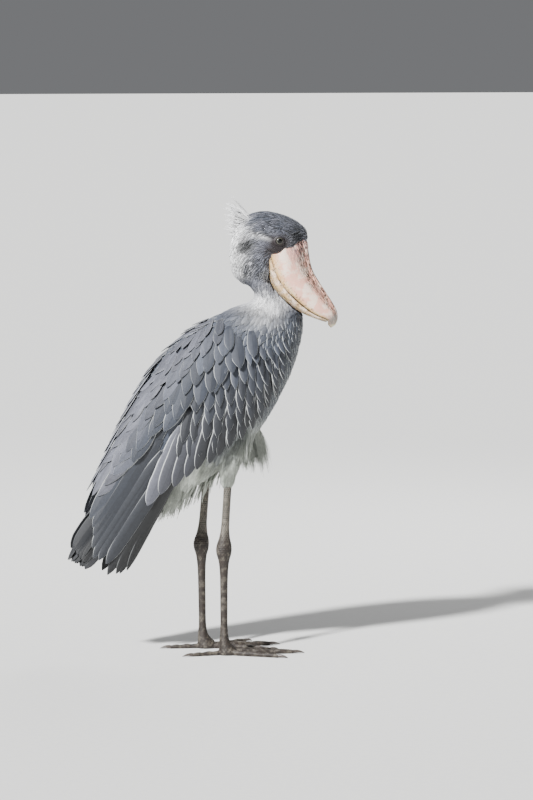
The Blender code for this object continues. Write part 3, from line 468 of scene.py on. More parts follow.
# the skin's own unwrap: the body round its axis, neck and head round theirs, each thigh round its own
def unwrapAt(points, centres):
    aft, up, out = inBody(points)
    hx, hy, hz = inHead(points)
    _, middleUp, middleOut = inBody(centres)
    middleX, middleY, middleZ = inHead(centres)
    onThigh = (middleZ < 0.47) & (np.abs(centres[:, 1]) > 0.024) & (middleUp < 0.0) & (centres[:, 0] > -0.01)
    legX, side = 0.045, np.where(centres[:, 1] > 0, 1, -1)

    def turned(ahead, away, middleAhead, middleAway):
        base = np.arctan2(middleAway, middleAhead)
        turn = np.arctan2(away, ahead) - base
        return (base + (turn + math.pi) % (2 * math.pi) - math.pi) / (2 * math.pi) + 0.5

    onLeg = turned(points[:, 0] - legX, points[:, 1] - side * bird["legSpread"],
                   centres[:, 0] - legX, centres[:, 1] - side * bird["legSpread"])
    shares = (
        (0.54 + 0.42 * turned(hx - 0.01, hy, middleX - 0.01, middleY), np.where(side > 0, 0.56, 0.78) + 0.17 * onLeg,
         0.04 + 0.42 * turned(up - 0.03, out, middleUp - 0.03, middleOut)),
        (0.04 + 0.58 * (hz - 0.78) / 0.3, 0.68 + 0.26 * (points[:, 2] - 0.36) / 0.15, 0.04 + 0.8 * (aft + 0.1) / 0.75),
    )
    return np.stack([np.clip(np.where(middleZ > 0.8, head, np.where(onThigh, thigh, body)), 0.003, 0.997)
                     for head, thigh, body in shares], 1)


def writeSkinUv(target):
    mesh = target.data
    corners = np.zeros(len(mesh.loops), np.int64)
    mesh.loops.foreach_get("vertex_index", corners)
    totals = np.zeros(len(mesh.polygons), np.int64)
    mesh.polygons.foreach_get("loop_total", totals)
    middles = np.zeros(len(mesh.polygons) * 3)
    mesh.polygons.foreach_get("center", middles)
    owner = np.repeat(np.arange(len(totals)), totals)
    uv = unwrapAt(places(target)[corners], middles.reshape(-1, 3)[owner])
    mesh.uv_layers.new(name="OFBake").data.foreach_set("uv", uv.astype(np.float32).ravel())


# body surface under the folded wings
def middleOf(back, belly, up):
    middle = blend(belly, back, bird["widest"])
    return middle, back - middle if up > middle else middle - belly


def envelopeSide(aft, up):
    back, belly, halfWidth, power = rowAt(envelopeRows, aft)
    middle, height = middleOf(back, belly, up)
    share = max(-0.985, min(0.985, (up - middle) / height))
    return halfWidth * (1 - abs(share) ** power) ** (1 / power), share, height, halfWidth, power, middle


def envelopeAt(aft, up, side, lift):
    out, share, height, halfWidth, power, middle = envelopeSide(aft, up)
    up = middle + share * height
    step = 0.01
    riseAft = (envelopeSide(aft + step, up)[0] - envelopeSide(aft - step, up)[0]) / (2 * step)
    pullUp = math.copysign(abs(share) ** (power - 1), share) / height
    pullOut = (out / halfWidth) ** (power - 1) / halfWidth
    outward = (lateral * side * pullOut + dorsalWay * pullUp - aftWay * riseAft * pullOut).normalized()
    return bodyPoint(aft, up, side * out) + outward * lift, outward


def torsoSide(aft, up):
    back, belly, halfWidth = rowAt(torsoRows, aft)
    middle, height = middleOf(back, belly, up)
    return halfWidth * max(0.0, 1 - abs((up - middle) / height) ** 2.2) ** (1 / 2.2)


def torsoRing(aft):
    back, belly, halfWidth = rowAt(torsoRows, aft)
    middle = middleOf(back, belly, 0)[0]
    return ringOf(48, lambda c, s: bodyPoint(
        aft, middle + (back - middle if s > 0 else middle - belly) * s, halfWidth * c), 2.2)


def ribRings(rows, count, widest, points):
    rings = []
    for t in spread(0.0, 1.0, count):
        lowX, lowZ, highX, highZ, halfWidth, turnShare = rowAt(rows, t)

        def place(c, s):
            share = widest + s * ((1 - widest) if s > 0 else widest)
            return headTurned((blend(lowX, highX, share), halfWidth * c, blend(lowZ, highZ, share)), turnShare)

        rings.append(ringOf(points, place, 2.1))
    return rings


def roundRing(centre, halfX, halfY, count):
    return ringOf(count, lambda c, s: centre + Vector((halfX * c, halfY * s, 0)))


# Skin: torso, wing roots, neck, head and thighs in one
skinSizes = {
    "grain": 0.0045,  # size of the skin's faces away from the eyes
    "bodyDepth": 0.0035,  # how deep the skin lies under the solids' surface
    "headDepth": 0.0016,
    "eyeAt": Vector((0.0525, 0, 0.9725)),  # in the head's own plane
    "eyeRadius": 0.0115,
    "lidRadius": 0.0092,
    "rim": 0.0074,  # how far out of the eye's centre the lids' edge stands
    "foldsApart": 0.0034,
    "creasesApart": 0.003,
}


def headSide(x, z):
    found = []
    for t in spread(0.0, 1.0, 81):
        lowX, lowZ, highX, highZ, halfWidth, _ = rowAt(headRows, t)
        dx, dz = highX - lowX, highZ - lowZ
        length = math.hypot(dx, dz)
        share = ((x - lowX) * dx + (z - lowZ) * dz) / length**2
        found.append((abs((x - lowX) * dz - (z - lowZ) * dx) / length, share, halfWidth))
    share, halfWidth = min(found, key=lambda one: one[0])[1:]
    cheek = bird["cheek"]
    up = (share - cheek) / ((1 - cheek) if share > cheek else cheek)
    return halfWidth * max(0.0, 1 - abs(up) ** 2.1) ** (1 / 2.1)


def eyeFrame(side):
    place = skinSizes["eyeAt"]
    outward = (headSpin @ Vector((0.26, side * 0.96, 0.06))).normalized()
    centre = headTurned((place.x, side * (headSide(place.x, place.z) - skinSizes["eyeRadius"] * 0.8), place.z))
    ahead = headSpin @ Vector((1, 0, 0))
    return centre, outward, (ahead - outward * ahead.dot(outward)).normalized()


def wingCore(side):
    rings = []
    for aft in spread(-0.022, 0.505, 22):
        upper, lower, depth = rowAt(wingRows, aft)
        heights = spread(upper, lower, 18)
        ring = [envelopeAt(aft, up, side, -0.003)[0] for up in heights]
        for up in reversed(heights):
            out = envelopeSide(aft, up)[0]
            deep = min(max(out - depth - 0.003, torsoSide(aft, up) - 0.004), out - 0.008)
            ring.append(bodyPoint(aft, up, side * deep))
        rings.append(ring)
    return tubeOf("core", rings)


def tailFrame():
    # where the tail starts, the way it runs, its length, and the way up from it
    start = bodyPoint(*tailSizes["root"])
    way = bodyPoint(*tailSizes["end"]) - start
    length = way.length
    way.normalize()
    up = way.cross(lateral).normalized()
    return start, way, length, -up if up.dot(dorsalWay) < 0 else up


tailSizes = {"root": (0.436, 0.036), "end": (0.716, 0.046), "feathers": 10, "halfWidth": 0.02, "arch": 0.014}
stumpRows = ((-0.02, 0.034, 0.036), (0.04, 0.031, 0.032), (0.08, 0.024, 0.02), (0.12, 0.014, 0.008))


def refine(shape):
    # smaller faces along the bill's edge and about the eyes
    def cutEdges(faces):
        edges = list({edge for face in faces for edge in face.edges})
        bmesh.ops.subdivide_edges(shape, edges=edges, cuts=1, use_grid_fill=True, smooth=0.0)

    softened(shape, shape.verts, 5)
    for reach in (0.012, 0.007):
        middles = np.array([tuple(face.calc_center_median()) for face in shape.faces])
        along, height, away = inBill(middles)
        near = (np.abs(pastFace(along, height)) < reach) & (np.abs(away) > 0.02) & (height > -0.036) & (height < 0.084)
        cutEdges([face for face, isNear in zip(shape.faces, near) if isNear])
    eyes = [eyeFrame(side)[0] for side in sides.values()]
    for reach in (0.04, 0.03, 0.017):
        near = [f for f in shape.faces if min((f.calc_center_median() - eye).length for eye in eyes) < reach]
        cutEdges(near)
        if reach > 0.02:
            softened(shape, list({vert for face in near if face.is_valid for vert in face.verts}))


def buildSkin():
    parts = [
        tubeOf("body", [torsoRing(aft) for aft in spread(-0.08, 0.47, 40)]),
        tubeOf("neckForm", ribRings(neckRows, 20, 0.5, 40)),
        tubeOf("headForm", ribRings(headRows, 30, bird["cheek"], 48)),
    ]
    for word, side in sides.items():
        parts.append(wingCore(side))
        rings = []
        for z, off, long, wide in thighRows:
            out = side * (bird["legSpread"] - 0.1 * (z - thighEnd))
            rings.append(roundRing(Vector((shankTop[word] + off, out, z)), long, wide, 24))
        parts.append(tubeOf("thigh", rings))
    start, way, _, up = tailFrame()
    parts.append(tubeOf("stump", [
        ringOf(24, lambda c, s: start + way * t + lateral * wide * c + up * high * s) for t, wide, high in stumpRows]))
    return reshaped(fusedByVoxels(joined("skin", parts), skinSizes["grain"]), refine)


# forms of the face: rise, place and width along the head, place and width up it
faceForms = (
    (0.0022, 0.006, 0.02, 0.925, 0.022),  # cheek
    (-0.0042, -0.0166, 0.012, 0.966, 0.011),  # hollow behind the ear coverts
    (0.0018, 0.012, 0.012, 0.975, 0.018),  # ear coverts
    (0.0044, 0.058, 0.02, 0.989, 0.005),  # brow
    (-0.0034, 0.058, 0.017, 0.966, 0.012),  # hollow of the eye
)


def shapeFace(target):
    # depth of the coat, then lids, brow, cheek and the folds below the eye
    points, normals = places(target), places(target, "normal")
    deep = blend(skinSizes["bodyDepth"], skinSizes["headDepth"], smoothStep(0.86, 0.89, points[:, 2]))
    points = points - normals * deep[:, None]
    hx, hy, hz = inHead(points)
    flank = smoothStep(0.012, 0.034, np.abs(hy)) * smoothStep(0.87, 0.89, hz)
    push = sum(rise * bump(hx - x, wide) * bump(hz - z, high) for rise, x, wide, z, high in faceForms)
    points = points + normals * (push * flank)[:, None]
    # the face falls in to meet the bill, and lies under its horn ahead of that
    along, height, away = inBill(points)
    past = pastFace(along, height)
    wall, ridge, chin = billWall(along, height)
    limit = wall - 0.001 - np.where(past > 0, 1.6 * np.minimum(past, 0.002), 0.8 * past)
    share = smoothStep(0.004, -0.004, height - ridge) * (hz > 0.855) * (along > -0.05) * (height > chin - 0.004)
    inwards = np.maximum(np.abs(away) - np.maximum(limit, 0.0), 0.0) * share
    points = points - np.outer(np.sign(away) * inwards, headSpin @ lateral)
    lid, rim = skinSizes["lidRadius"], skinSizes["rim"]
    for side in sides.values():
        centre, look, ahead = eyeFrame(side)
        high = look.cross(ahead)
        axes = (ahead, high if high.z > 0 else -high, look)
        a, b, d = ((points - np.array(centre)) @ np.array(axis) for axis in axes)
        near = (np.hypot(a, b) < 0.034) & (d > -0.02)
        r, turn = np.hypot(a, b / 0.88), np.arctan2(b, a)
        want = blend(d, rim + 0.0008 * bump(r - lid - 0.0009, 0.0009), 1 - smoothStep(lid + 0.0008, lid + 0.006, r))
        want = np.where(r < lid, rim - 0.0095 * smoothStep(lid, lid - 0.0016, r), want)
        folds = 0.00055 * np.cos((r - lid) * 2 * math.pi / skinSizes["foldsApart"] + 0.6 * np.sin(3 * turn))
        folds *= smoothStep(lid + 0.0008, lid + 0.003, r) * smoothStep(lid + 0.013, lid + 0.005, r)
        folds *= 0.35 + 0.65 * smoothStep(0.2, -0.5, np.sin(turn))
        creases = 0.0005 * np.sin(b * 2 * math.pi / skinSizes["creasesApart"] + 2800 * a * a + a * 160)
        creases *= smoothStep(-0.011, -0.015, b) * smoothStep(-0.03, -0.022, b) * bump(a + 0.002, 0.013)
        points = points + np.outer(np.where(near, want + folds + creases - d, 0.0), look)
    movePlaces(target, points)
    return points


skin = buildSkin()
skinPoints = shapeFace(skin)
print("skin shaped,", len(skin.data.polygons), "faces")


# Lie of the coat, its lengths, and the tract that each part of the skin belongs to
coatSizes = {
    "hangLow": 0.75,  # how freely the belly's plumes hang, 0 on the skin and 1 straight down
    "hangBreast": 0.1,
    "hangThigh": 0.2,
    "mostRoots": 400000.0,  # to a square metre, before the spacing thins them
    "barbsApart": 0.0022,  # coarser than real ones so that they show
}


def underWing(aft, up):
    # whether the folded wing lies over that place
    if not (0.03 < aft <= 0.5 and up > -0.045):
        return False
    upper, lower, _ = rowAt(wingRows, aft)
    return lower - 0.012 < up < upper - 0.02


def layCoat(target, points):
    aft, up, out = inBody(points)
    hx, _, hz = inHead(points)
    along, height, _ = inBill(points)
    head = smoothStep(0.868, 0.892, hz + 0.1 * hx)
    neck = smoothStep(0.785, 0.815, hz) * (1 - head)
    back = smoothStep(-0.01, 0.07, up)
    lie = np.outer(back, aftWay) + np.outer(1 - back, (-0.2, 0, -1.0))
    drop = 0.15 + 1.6 * smoothStep(0.03, -0.055, hx) + 0.9 * smoothStep(0.95, 0.9, hz)
    headLie = np.stack([-np.ones(len(points)), np.zeros(len(points)), -drop], 1) @ np.array(headSpin).T
    lie = lie * (1 - neck - head)[:, None] + np.outer(neck, (-0.25, 0, -1.0)) + headLie * head[:, None]
    lie[:, 1] += 0.25 * np.sign(out) * smoothStep(0.1, 0.0, aft) * (1 - head)
    writeNote(target, "lie", "FLOAT_VECTOR", lie)
    writeNote(target, "tint", "FLOAT_COLOR", tintsAt(points))
    past = pastFace(along, height)
    _, ridge, chin = billWall(along, height)
    inBillRoom = (past > -0.0005) & (height > chin - 0.001) & (height < ridge + 0.001) & (along < 0.215)

    def patch(share, x, wide, z, high):
        return share * bump(hx - x, wide) * bump(hz - z, high) * head

    bare = np.maximum(patch(1.0, 0.0555, 0.0135, 0.9685, 0.0105), patch(0.95, 0.062, 0.014, 0.952, 0.0075))
    bare = np.maximum(bare, patch(0.95, 0.046, 0.012, 0.948, 0.0075))
    fromEye = np.hypot(hx - skinSizes["eyeAt"].x, hz - skinSizes["eyeAt"].z)
    small = 0.45 + 0.55 * smoothStep(0.016, 0.045, fromEye)
    small *= 1 + 0.7 * smoothStep(0.02, -0.06, hx) + 0.3 * smoothStep(0.915, 0.885, hz)
    small *= 1 - 0.65 * smoothStep(0.905, 0.88, hz) * smoothStep(0.03, -0.01, hx)
    thigh = ((points[:, 2] < 0.475) & (np.abs(points[:, 1]) > 0.022) & (points[:, 0] > -0.01)).astype(float)
    belly = smoothStep(0.175, 0.215, aft) * smoothStep(-0.045, -0.065, up) * (up < 0.02)
    belly = np.maximum(belly, (aft > 0.4) & (up < 0.03)) * (1 - thigh)
    mantle = smoothStep(0.07, 0.1, up) * (1 - neck) * (1 - head) * (aft > -0.05)
    breast = (1 - mantle) * (1 - belly) * (1 - neck) * (1 - head) * (1 - thigh)
    openAir = ~np.array([underWing(*place) for place in zip(aft, up)])
    size = np.where(head > 0.5, small, 1.0) * np.where(head < 0.5, 0.55 + 0.45 * smoothStep(0.86, 0.76, hz), 1.0)
    size *= 1 - 0.45 * smoothStep(0.03, 0.0, hx) * bump(hz - 0.85, 0.03)
    size *= np.where(thigh > 0.5, 0.5 + 0.5 * smoothStep(0.4, 0.44, points[:, 2]), 1.0)
    notes = {
        "tractHead": head * smoothStep(0.62, 0.42, bare) * ~inBillRoom,
        "tractNeck": neck * ~inBillRoom,
        "tractBreast": (breast > 0.5) & openAir,
        "tractMantle": (mantle > 0.5) & ((aft < 0.14) | (np.abs(out) < 0.045)),
        "tractBelly": (belly > 0.5) & openAir,
        "tractThigh": thigh * (up < 0.0),
        "plumeSize": size,
        "hang": coatSizes["hangLow"] * belly + coatSizes["hangBreast"] * breast + coatSizes["hangThigh"] * thigh,
        "fringe": np.clip(0.85 * breast + 0.6 * mantle + 0.15 * neck + 0.12 * head, 0, 1),
    }
    for name, values in notes.items():
        writeNote(target, name, "FLOAT", values)


layCoat(skin, skinPoints)
writeSkinUv(skin)


# Vanes of each kind, drawn in their own measure: across, along and face
def vaneOf(name, verts, faces, notes):
    # the vane with what places it on a curve of three points
    made = meshOf(name, verts, faces)
    t, across, bow, face, edge, share = np.array(notes).T
    for note, columns in {
        "weights": ((1 - t) * (1 - 2 * t), 4 * t * (1 - t), t * (2 * t - 1)),
        "pull": (4 * t - 3, 4 - 8 * t, 4 * t - 1),
        "cross": (across, bow, face),
        "vaneAt": (share, t, edge),
    }.items():
        writeNote(made, note, "FLOAT_VECTOR", np.stack(columns, 1))
    return made


def bladeVane(name, outline, columns, rows, nicks, seed):
    # an arched blade with a raised shaft, closed on both faces
    dice = random.Random(seed)
    cols = [-c for c in columns[::-1]] + [0.0, *columns]
    section = [(c, 1.0 if abs(c) < 1 else 0.0) for c in cols] + [(c, -1.0) for c in cols[-2:0:-1]]
    verts, notes = [], []
    for t in rows:
        width = np.interp(t, *zip(*outline))
        nick = {-1: dice.uniform(0, nicks), 1: dice.uniform(0, nicks)}
        for c, f in section:
            x = c * width * (1 - nick[1 if c > 0 else -1] * abs(c) ** 3)
            bow = -(c * width) ** 2 + (0.1 if c == 0 and f > 0 else 0.0) * (1 - 0.7 * t)
            verts.append((x, t, f * 0.01))
            notes.append((min(1.0, t), x, bow, f, max(abs(c) ** 2, (t - 0.95) / 0.06), c))
    count = len(section)
    ends = [tuple(range(count))[::-1], tuple(range(len(verts) - count, len(verts)))]
    return vaneOf(name, verts, sleeve(count, len(rows)) + ends, notes)


def wispVane(name, fingers, wide, rows, core, seed):
    # a loose plume: narrow tapering strips that part towards the tip
    dice = random.Random(seed)
    verts, faces, notes = [], [], []
    half = (fingers - 1) / 2
    for k in range(fingers):
        place = (k - half) / half
        reach = 1.0 - 0.3 * abs(place) ** 1.5 * dice.uniform(0.6, 1.4) - dice.uniform(0, 0.1)
        sway = dice.uniform(-0.16, 0.16)
        lift = dice.uniform(-0.25, 0.35)
        base = len(verts)
        for s in spread(0, 1, rows):
            middle = place * (core + (wide - core) * s**1.4) * (0.35 + 0.65 * min(1.0, s * 3)) + sway * s * s
            width = (1.5 / fingers) * (1 - 0.92 * s**1.8) * (0.75 + 0.5 * min(1.0, 3 * s))
            for c, f in ((-1, 0.0), (1, 0.0), (0, 1.6)):
                x = middle + c * width * 0.5
                verts.append((x, s * reach, f * 0.01 + 0.001 * k))
                bow = -0.45 * x * x + lift * s * s * 0.5
                notes.append((s * reach, x, bow, f, s**3 if c else 0.5 * s**3, place))
        tip = len(verts) - 3
        faces += sleeve(3, rows, base) + [(base + 2, base + 1, base), (tip, tip + 1, tip + 2)]
    return vaneOf(name, verts, faces, notes)


def vaneSet(name, kind, draw, count, *shape, seed):
    # variants of one kind in a hidden collection, for the trees to pick from
    drawn = [reshaped(draw(f"{kind}{k}", *shape, seed + k), None) for k in range(count)]
    shelf = bpy.data.collections.new(name)
    for vane in drawn:
        bpy.context.scene.collection.objects.unlink(vane)
        shelf.objects.link(vane)
    return shelf


shortBlade = ((0, 0.55), (0.18, 0.82), (0.45, 1), (0.68, 0.95), (0.82, 0.74), (0.92, 0.45), (0.98, 0.18), (1, 0.05))
pointedBlade = ((0, 0.5), (0.2, 0.85), (0.42, 1), (0.6, 0.95), (0.74, 0.78), (0.86, 0.5), (0.94, 0.26), (1, 0.04))
longBlade = ((0.0, 0.6), (0.15, 0.9), (0.4, 1.0), (0.75, 0.97), (0.88, 0.8), (0.95, 0.5), (0.985, 0.22), (1.0, 0.05))
lanceBlade = ((0.0, 0.5), (0.2, 0.9), (0.4, 1.0), (0.6, 0.84), (0.8, 0.5), (0.92, 0.24), (1.0, 0.04))
bladeRows = (0.0, 0.16, 0.32, 0.46, 0.58, 0.68, 0.76, 0.83, 0.89, 0.935, 0.968, 0.988, 1.0)
longRows = (*spread(0.0, 0.8, 11), 0.86, 0.91, 0.95, 0.975, 0.99, 1.0)
lanceRows = (0.0, 0.25, 0.5, 0.7, 0.85, 0.95, 1.0)
# kind: its collection, how it is drawn, variants, then outline, columns, rows, nicks or strips, width, rows, core
vaneKinds = {
    "blade": ("bladeVanes", bladeVane, 4, shortBlade, (0.45, 0.84, 1.0), bladeRows, 0.07, 0),
    "point": ("pointedVanes", bladeVane, 4, pointedBlade, (0.45, 0.84, 1.0), bladeRows, 0.1, 9),
    "long": ("longVanes", bladeVane, 4, longBlade, (0.3, 0.62, 0.88, 1.0), longRows, 0.05, 20),
    "lance": ("lanceVanes", bladeVane, 4, lanceBlade, (0.6, 1.0), lanceRows, 0.16, 40),
    "scale": ("scaleVanes", bladeVane, 4, lanceBlade, (1.0,), (0.0, 0.35, 0.7, 0.9, 1.0), 0.2, 60),
    "wisp": ("wispVanes", wispVane, 5, 7, 1.25, 6, 0.4, 80),
    "fine": ("fineVanes", wispVane, 5, 4, 0.9, 5, 0.5, 90),
}
vanes = {kind: vaneSet(name, kind, *shape, seed=seed) for kind, (name, *shape, seed) in vaneKinds.items()}


# Node trees that lay the vanes
def startTree(name, *sockets):
    # a tree with its named inputs and one output
    tree = bpy.data.node_groups.new(name, "GeometryNodeTree")
    for label, kind, *value in sockets:
        made = tree.interface.new_socket(label, in_out="INPUT", socket_type="NodeSocket" + kind)
        if value:
            made.default_value = value[0]
    tree.interface.new_socket("Coat", in_out="OUTPUT", socket_type="NodeSocketGeometry")
    return tree, addNode(tree, "NodeGroupInput").outputs


def endTree(tree, geometry, finish):
    last = addNode(tree, "GeometryNodeRealizeInstances", None, {"Geometry": geometry}).outputs[0]
    last = addNode(tree, "GeometryNodeSetMaterial", None, {"Geometry": last, "Material": finish}).outputs[0]
    addNode(tree, "NodeGroupOutput", None, {0: last})
    return tree


def fieldOf(tree, name, kind="FLOAT_VECTOR"):
    return addNode(tree, "GeometryNodeInputNamedAttribute", {"data_type": kind}, {"Name": name}).outputs["Attribute"]


def storedIn(tree, geometry, name, value, kind="FLOAT_VECTOR", domain="POINT"):
    return addNode(tree, "GeometryNodeStoreNamedAttribute", {"data_type": kind, "domain": domain}, {
        "Geometry": geometry, "Name": name, "Value": value}).outputs[0]


def mixedWay(tree, share, first, last):
    return addNode(tree, "ShaderNodeMix", {"data_type": "VECTOR"}, {"Factor": share, 4: first, 5: last}).outputs[1]


def placeOff(tree, start, way, reach):
    return vectorOf(tree, "ADD", start, scaledOf(tree, way, reach))


def layVanesTree():
    # stands a vane on every point and bends it through the point's three places
    tree, given = startTree(
        "lay vanes", ("Points", "Geometry"), ("Vanes", "Collection"), ("Thickness", "Float", 0.0006),
        ("Camber", "Float", 0.2), ("Patch", "Float", 0.003), ("Finish", "Material"))
    stock = addNode(tree, "GeometryNodeCollectionInfo", None, {
        "Collection": given["Vanes"], "Separate Children": True, "Reset Children": True}).outputs[0]
    stand = addNode(tree, "GeometryNodeInstanceOnPoints", None, {
        "Points": given["Points"], "Instance": stock, "Pick Instance": True}).outputs[0]
    real = addNode(tree, "GeometryNodeRealizeInstances", None, {"Geometry": stand}).outputs[0]
    spots = [fieldOf(tree, name) for name in ("rootAt", "midAt", "tipAt")]

    def curveOf(kind):
        first, *others = zip(spots, partsOf(tree, fieldOf(tree, kind)))
        total = scaledOf(tree, *first)
        for other in others:
            total = placeOff(tree, total, *other)
        return total

    pull = curveOf("pull")
    across, bow, face = partsOf(tree, fieldOf(tree, "cross"))
    share, along, _ = partsOf(tree, fieldOf(tree, "vaneAt"))
    half = partsOf(tree, fieldOf(tree, "span"))[0]
    outward = mixedWay(tree, along, fieldOf(tree, "rootOut"), fieldOf(tree, "tipOut"))
    side = vectorOf(tree, "NORMALIZE", vectorOf(tree, "CROSS_PRODUCT", pull, outward))
    out = vectorOf(tree, "NORMALIZE", vectorOf(tree, "CROSS_PRODUCT", side, pull))
    high = mathOf(tree, "ADD", timesOf(tree, bow, half, given["Camber"]), timesOf(tree, face, given["Thickness"]))
    place = placeOff(tree, placeOff(tree, curveOf("weights"), side, timesOf(tree, across, half)), out, high)
    bent = addNode(tree, "GeometryNodeSetPosition", None, {"Geometry": real, "Position": place}).outputs[0]
    patch = scaledOf(tree, joinedOf(tree, share, along, 0.0), given["Patch"])
    patch = vectorOf(tree, "MULTIPLY_ADD", patch, (0.5, 1.0, 0.0), fieldOf(tree, "rootUv"))
    last = storedIn(tree, bent, "OFBake", patch, "FLOAT2", "CORNER")
    for spare in ("weights", "pull", "cross", "rootAt", "midAt", "tipAt", "rootOut", "tipOut", "rootUv", "lie"):
        last = addNode(tree, "GeometryNodeRemoveAttribute", None, {"Geometry": last, "Name": spare}).outputs[0]
    return endTree(tree, last, given["Finish"])


layVanes = layVanesTree()


def scatterTree():
    # roots set over a tract of the skin, each with its places found along the lie
    tree, given = startTree(
        "scatter plumage", ("Skin", "Geometry"), ("Tract", "String", "tractBreast"), ("Spacing", "Float", 0.008),
        ("Length", "Float", 0.03), ("Half Width", "Float", 0.005), ("Lift", "Float", 0.002), ("Sink", "Float", 0.001),
        ("Stray", "Float", 0.15), ("Seed", "Int", 1), ("Vanes", "Collection"), ("Thickness", "Float", 0.0005),
        ("Camber", "Float", 0.3), ("Finish", "Material"))
    roots = addNode(tree, "GeometryNodeDistributePointsOnFaces", {"distribute_method": "POISSON"}, {
        "Mesh": given["Skin"], "Distance Min": given["Spacing"], "Density Max": coatSizes["mostRoots"],
        "Density Factor": fieldOf(tree, given["Tract"], "FLOAT"), "Seed": given["Seed"]}).outputs
    normal = roots["Normal"]
    where = addNode(tree, "GeometryNodeInputPosition").outputs[0]
    skinNormal = addNode(tree, "GeometryNodeInputNormal").outputs[0]
    hang = fieldOf(tree, "hang", "FLOAT")

    def chance(low, high, seed):
        return addNode(tree, "FunctionNodeRandomValue", {"data_type": "FLOAT"}, {
            2: low, 3: high, "Seed": seed}).outputs[1]

    def sampled(value, at):
        return addNode(tree, "GeometryNodeSampleNearestSurface", {"data_type": "FLOAT_VECTOR"}, {
            "Mesh": given["Skin"], "Value": value, "Sample Position": at}).outputs["Value"]

    stray = addNode(tree, "FunctionNodeRandomValue", {"data_type": "FLOAT_VECTOR"}, {
        0: (-1.0, -1.0, -1.0), 1: (1.0, 1.0, 1.0), "Seed": 3}).outputs[0]
    way = placeOff(tree, vectorOf(tree, "NORMALIZE", fieldOf(tree, "lie")), stray, given["Stray"])
    sized = timesOf(tree, fieldOf(tree, "plumeSize", "FLOAT"), chance(0.8, 1.2, 5))
    length, half, lift = (timesOf(tree, sized, given[name]) for name in ("Length", "Half Width", "Lift"))
    flat = vectorOf(tree, "SUBTRACT", way, vectorOf(tree, "PROJECT", way, normal))
    flat = vectorOf(tree, "NORMALIZE", flat)

    def spotAt(part):
        # the vane's place that far along, on the skin or hanging free, and the way out there
        reach = timesOf(tree, length, part)
        ahead = placeOff(tree, where, flat, reach)
        out = sampled(skinNormal, ahead)
        onSkin = placeOff(tree, sampled(where, ahead), out, timesOf(tree, lift, part))
        return mixedWay(tree, hang, onSkin, placeOff(tree, where, way, reach)), out

    tip, tipOut = spotAt(1.0)
    notes = {
        "rootAt": placeOff(tree, where, normal, timesOf(tree, given["Sink"], -1.0)),
        "midAt": spotAt(0.5)[0], "tipAt": tip, "rootOut": normal, "tipOut": tipOut,
        "span": joinedOf(tree, half, chance(0.0, 1.0, 8), fieldOf(tree, "fringe", "FLOAT")),
        "rootUv": fieldOf(tree, "OFBake"),
    }
    last = storedIn(tree, roots["Points"], "vaneLength", length, "FLOAT")
    for name, value in notes.items():
        last = storedIn(tree, last, name, value)
    coat = addNode(tree, "GeometryNodeGroup", {"node_tree": layVanes}, {
        "Points": last, **{name: given[name] for name in ("Vanes", "Thickness", "Camber", "Finish")}}).outputs[0]
    return endTree(tree, coat, given["Finish"])


scatterPlumage = scatterTree()


def grown(name, source, tree, inputs):
    # runs a tree on a copy of the source and keeps the plain mesh
    made = linked(name, source.data)
    grow = made.modifiers.new("grow", "NODES")
    grow.node_group = tree
    for item in tree.interface.items_tree:
        if item.item_type == "SOCKET" and item.in_out == "INPUT" and item.name in inputs:
            grow[item.identifier] = inputs[item.name]
    settled(made)
    made.data.name = name
    made.data.shade_smooth()
    triangles = sum(len(face.vertices) - 2 for face in made.data.polygons)
    print(f"{name}: {triangles} triangles")
    return made


# Finishes
def featherFinish(name, barbDepth, roughness, sheen, tones):
    # keratin vane, grown as barbs: matt and faintly silky, pale along its rim where the tract has a fringe
    made, tree = startFinish(name, roughness, IOR=1.54, Sheen_Weight=sheen, Sheen_Roughness=0.5)
    half, tone, fringe = partsOf(tree, noteOf(tree, "span"))
    across, along, edge = partsOf(tree, noteOf(tree, "vaneAt"))
    away = mathOf(tree, "ABSOLUTE", across)
    # barbs run out and forwards from the shaft
    reach = timesOf(tree, along, noteOf(tree, "vaneLength", "Fac"))
    run = mathOf(tree, "SUBTRACT", reach, timesOf(tree, away, half))
    barbs = mathOf(tree, "SINE", timesOf(tree, run, 2 * math.pi / coatSizes["barbsApart"]))
    mottle = noiseOf(tree, objectOf(tree), 160.0, 4.0)
    level = timesOf(
        tree, rampOf(tree, tone, 0.0, 1.0, *tones), rampOf(tree, edge, 0.0, 0.8, 0.86, 1.08),
        rampOf(tree, mottle, 0.3, 0.7, 0.84, 1.12), rampOf(tree, barbs, -1.0, 1.0, 0.955, 1.03),
        rampOf(tree, away, 0.02, 0.1, 0.8, 1.0))
    rim = timesOf(tree, rampOf(tree, edge, 0.76, 0.9, shape="SMOOTHSTEP"), fringe)
    tint = mixOf(tree, rim, scaledOf(tree, noteOf(tree, "tint", "Color"), level), (*inks["fringe"], 1))
    return endFinish(made, tint, barbs, 0.5, barbDepth)


def hideFinish():
    # bare skin, grown pebbled and creased: soft sheen, dark grey where it shows
    made, tree = startFinish("bareSkinPebbled", 0.55, IOR=1.45)
    pebble = addNode(tree, "ShaderNodeTexVoronoi", {"feature": "DISTANCE_TO_EDGE"}, {
        "Vector": objectOf(tree), "Scale": 620.0}).outputs[0]
    mottle = noiseOf(tree, objectOf(tree), 190.0, 5.0)
    level = timesOf(tree, rampOf(tree, pebble, 0.0, 0.35, 0.62, 1.05), rampOf(tree, mottle, 0.3, 0.7, 0.78, 1.16))
    return endFinish(made, scaledOf(tree, noteOf(tree, "tint", "Color"), level), pebble, 0.6, 0.0004)


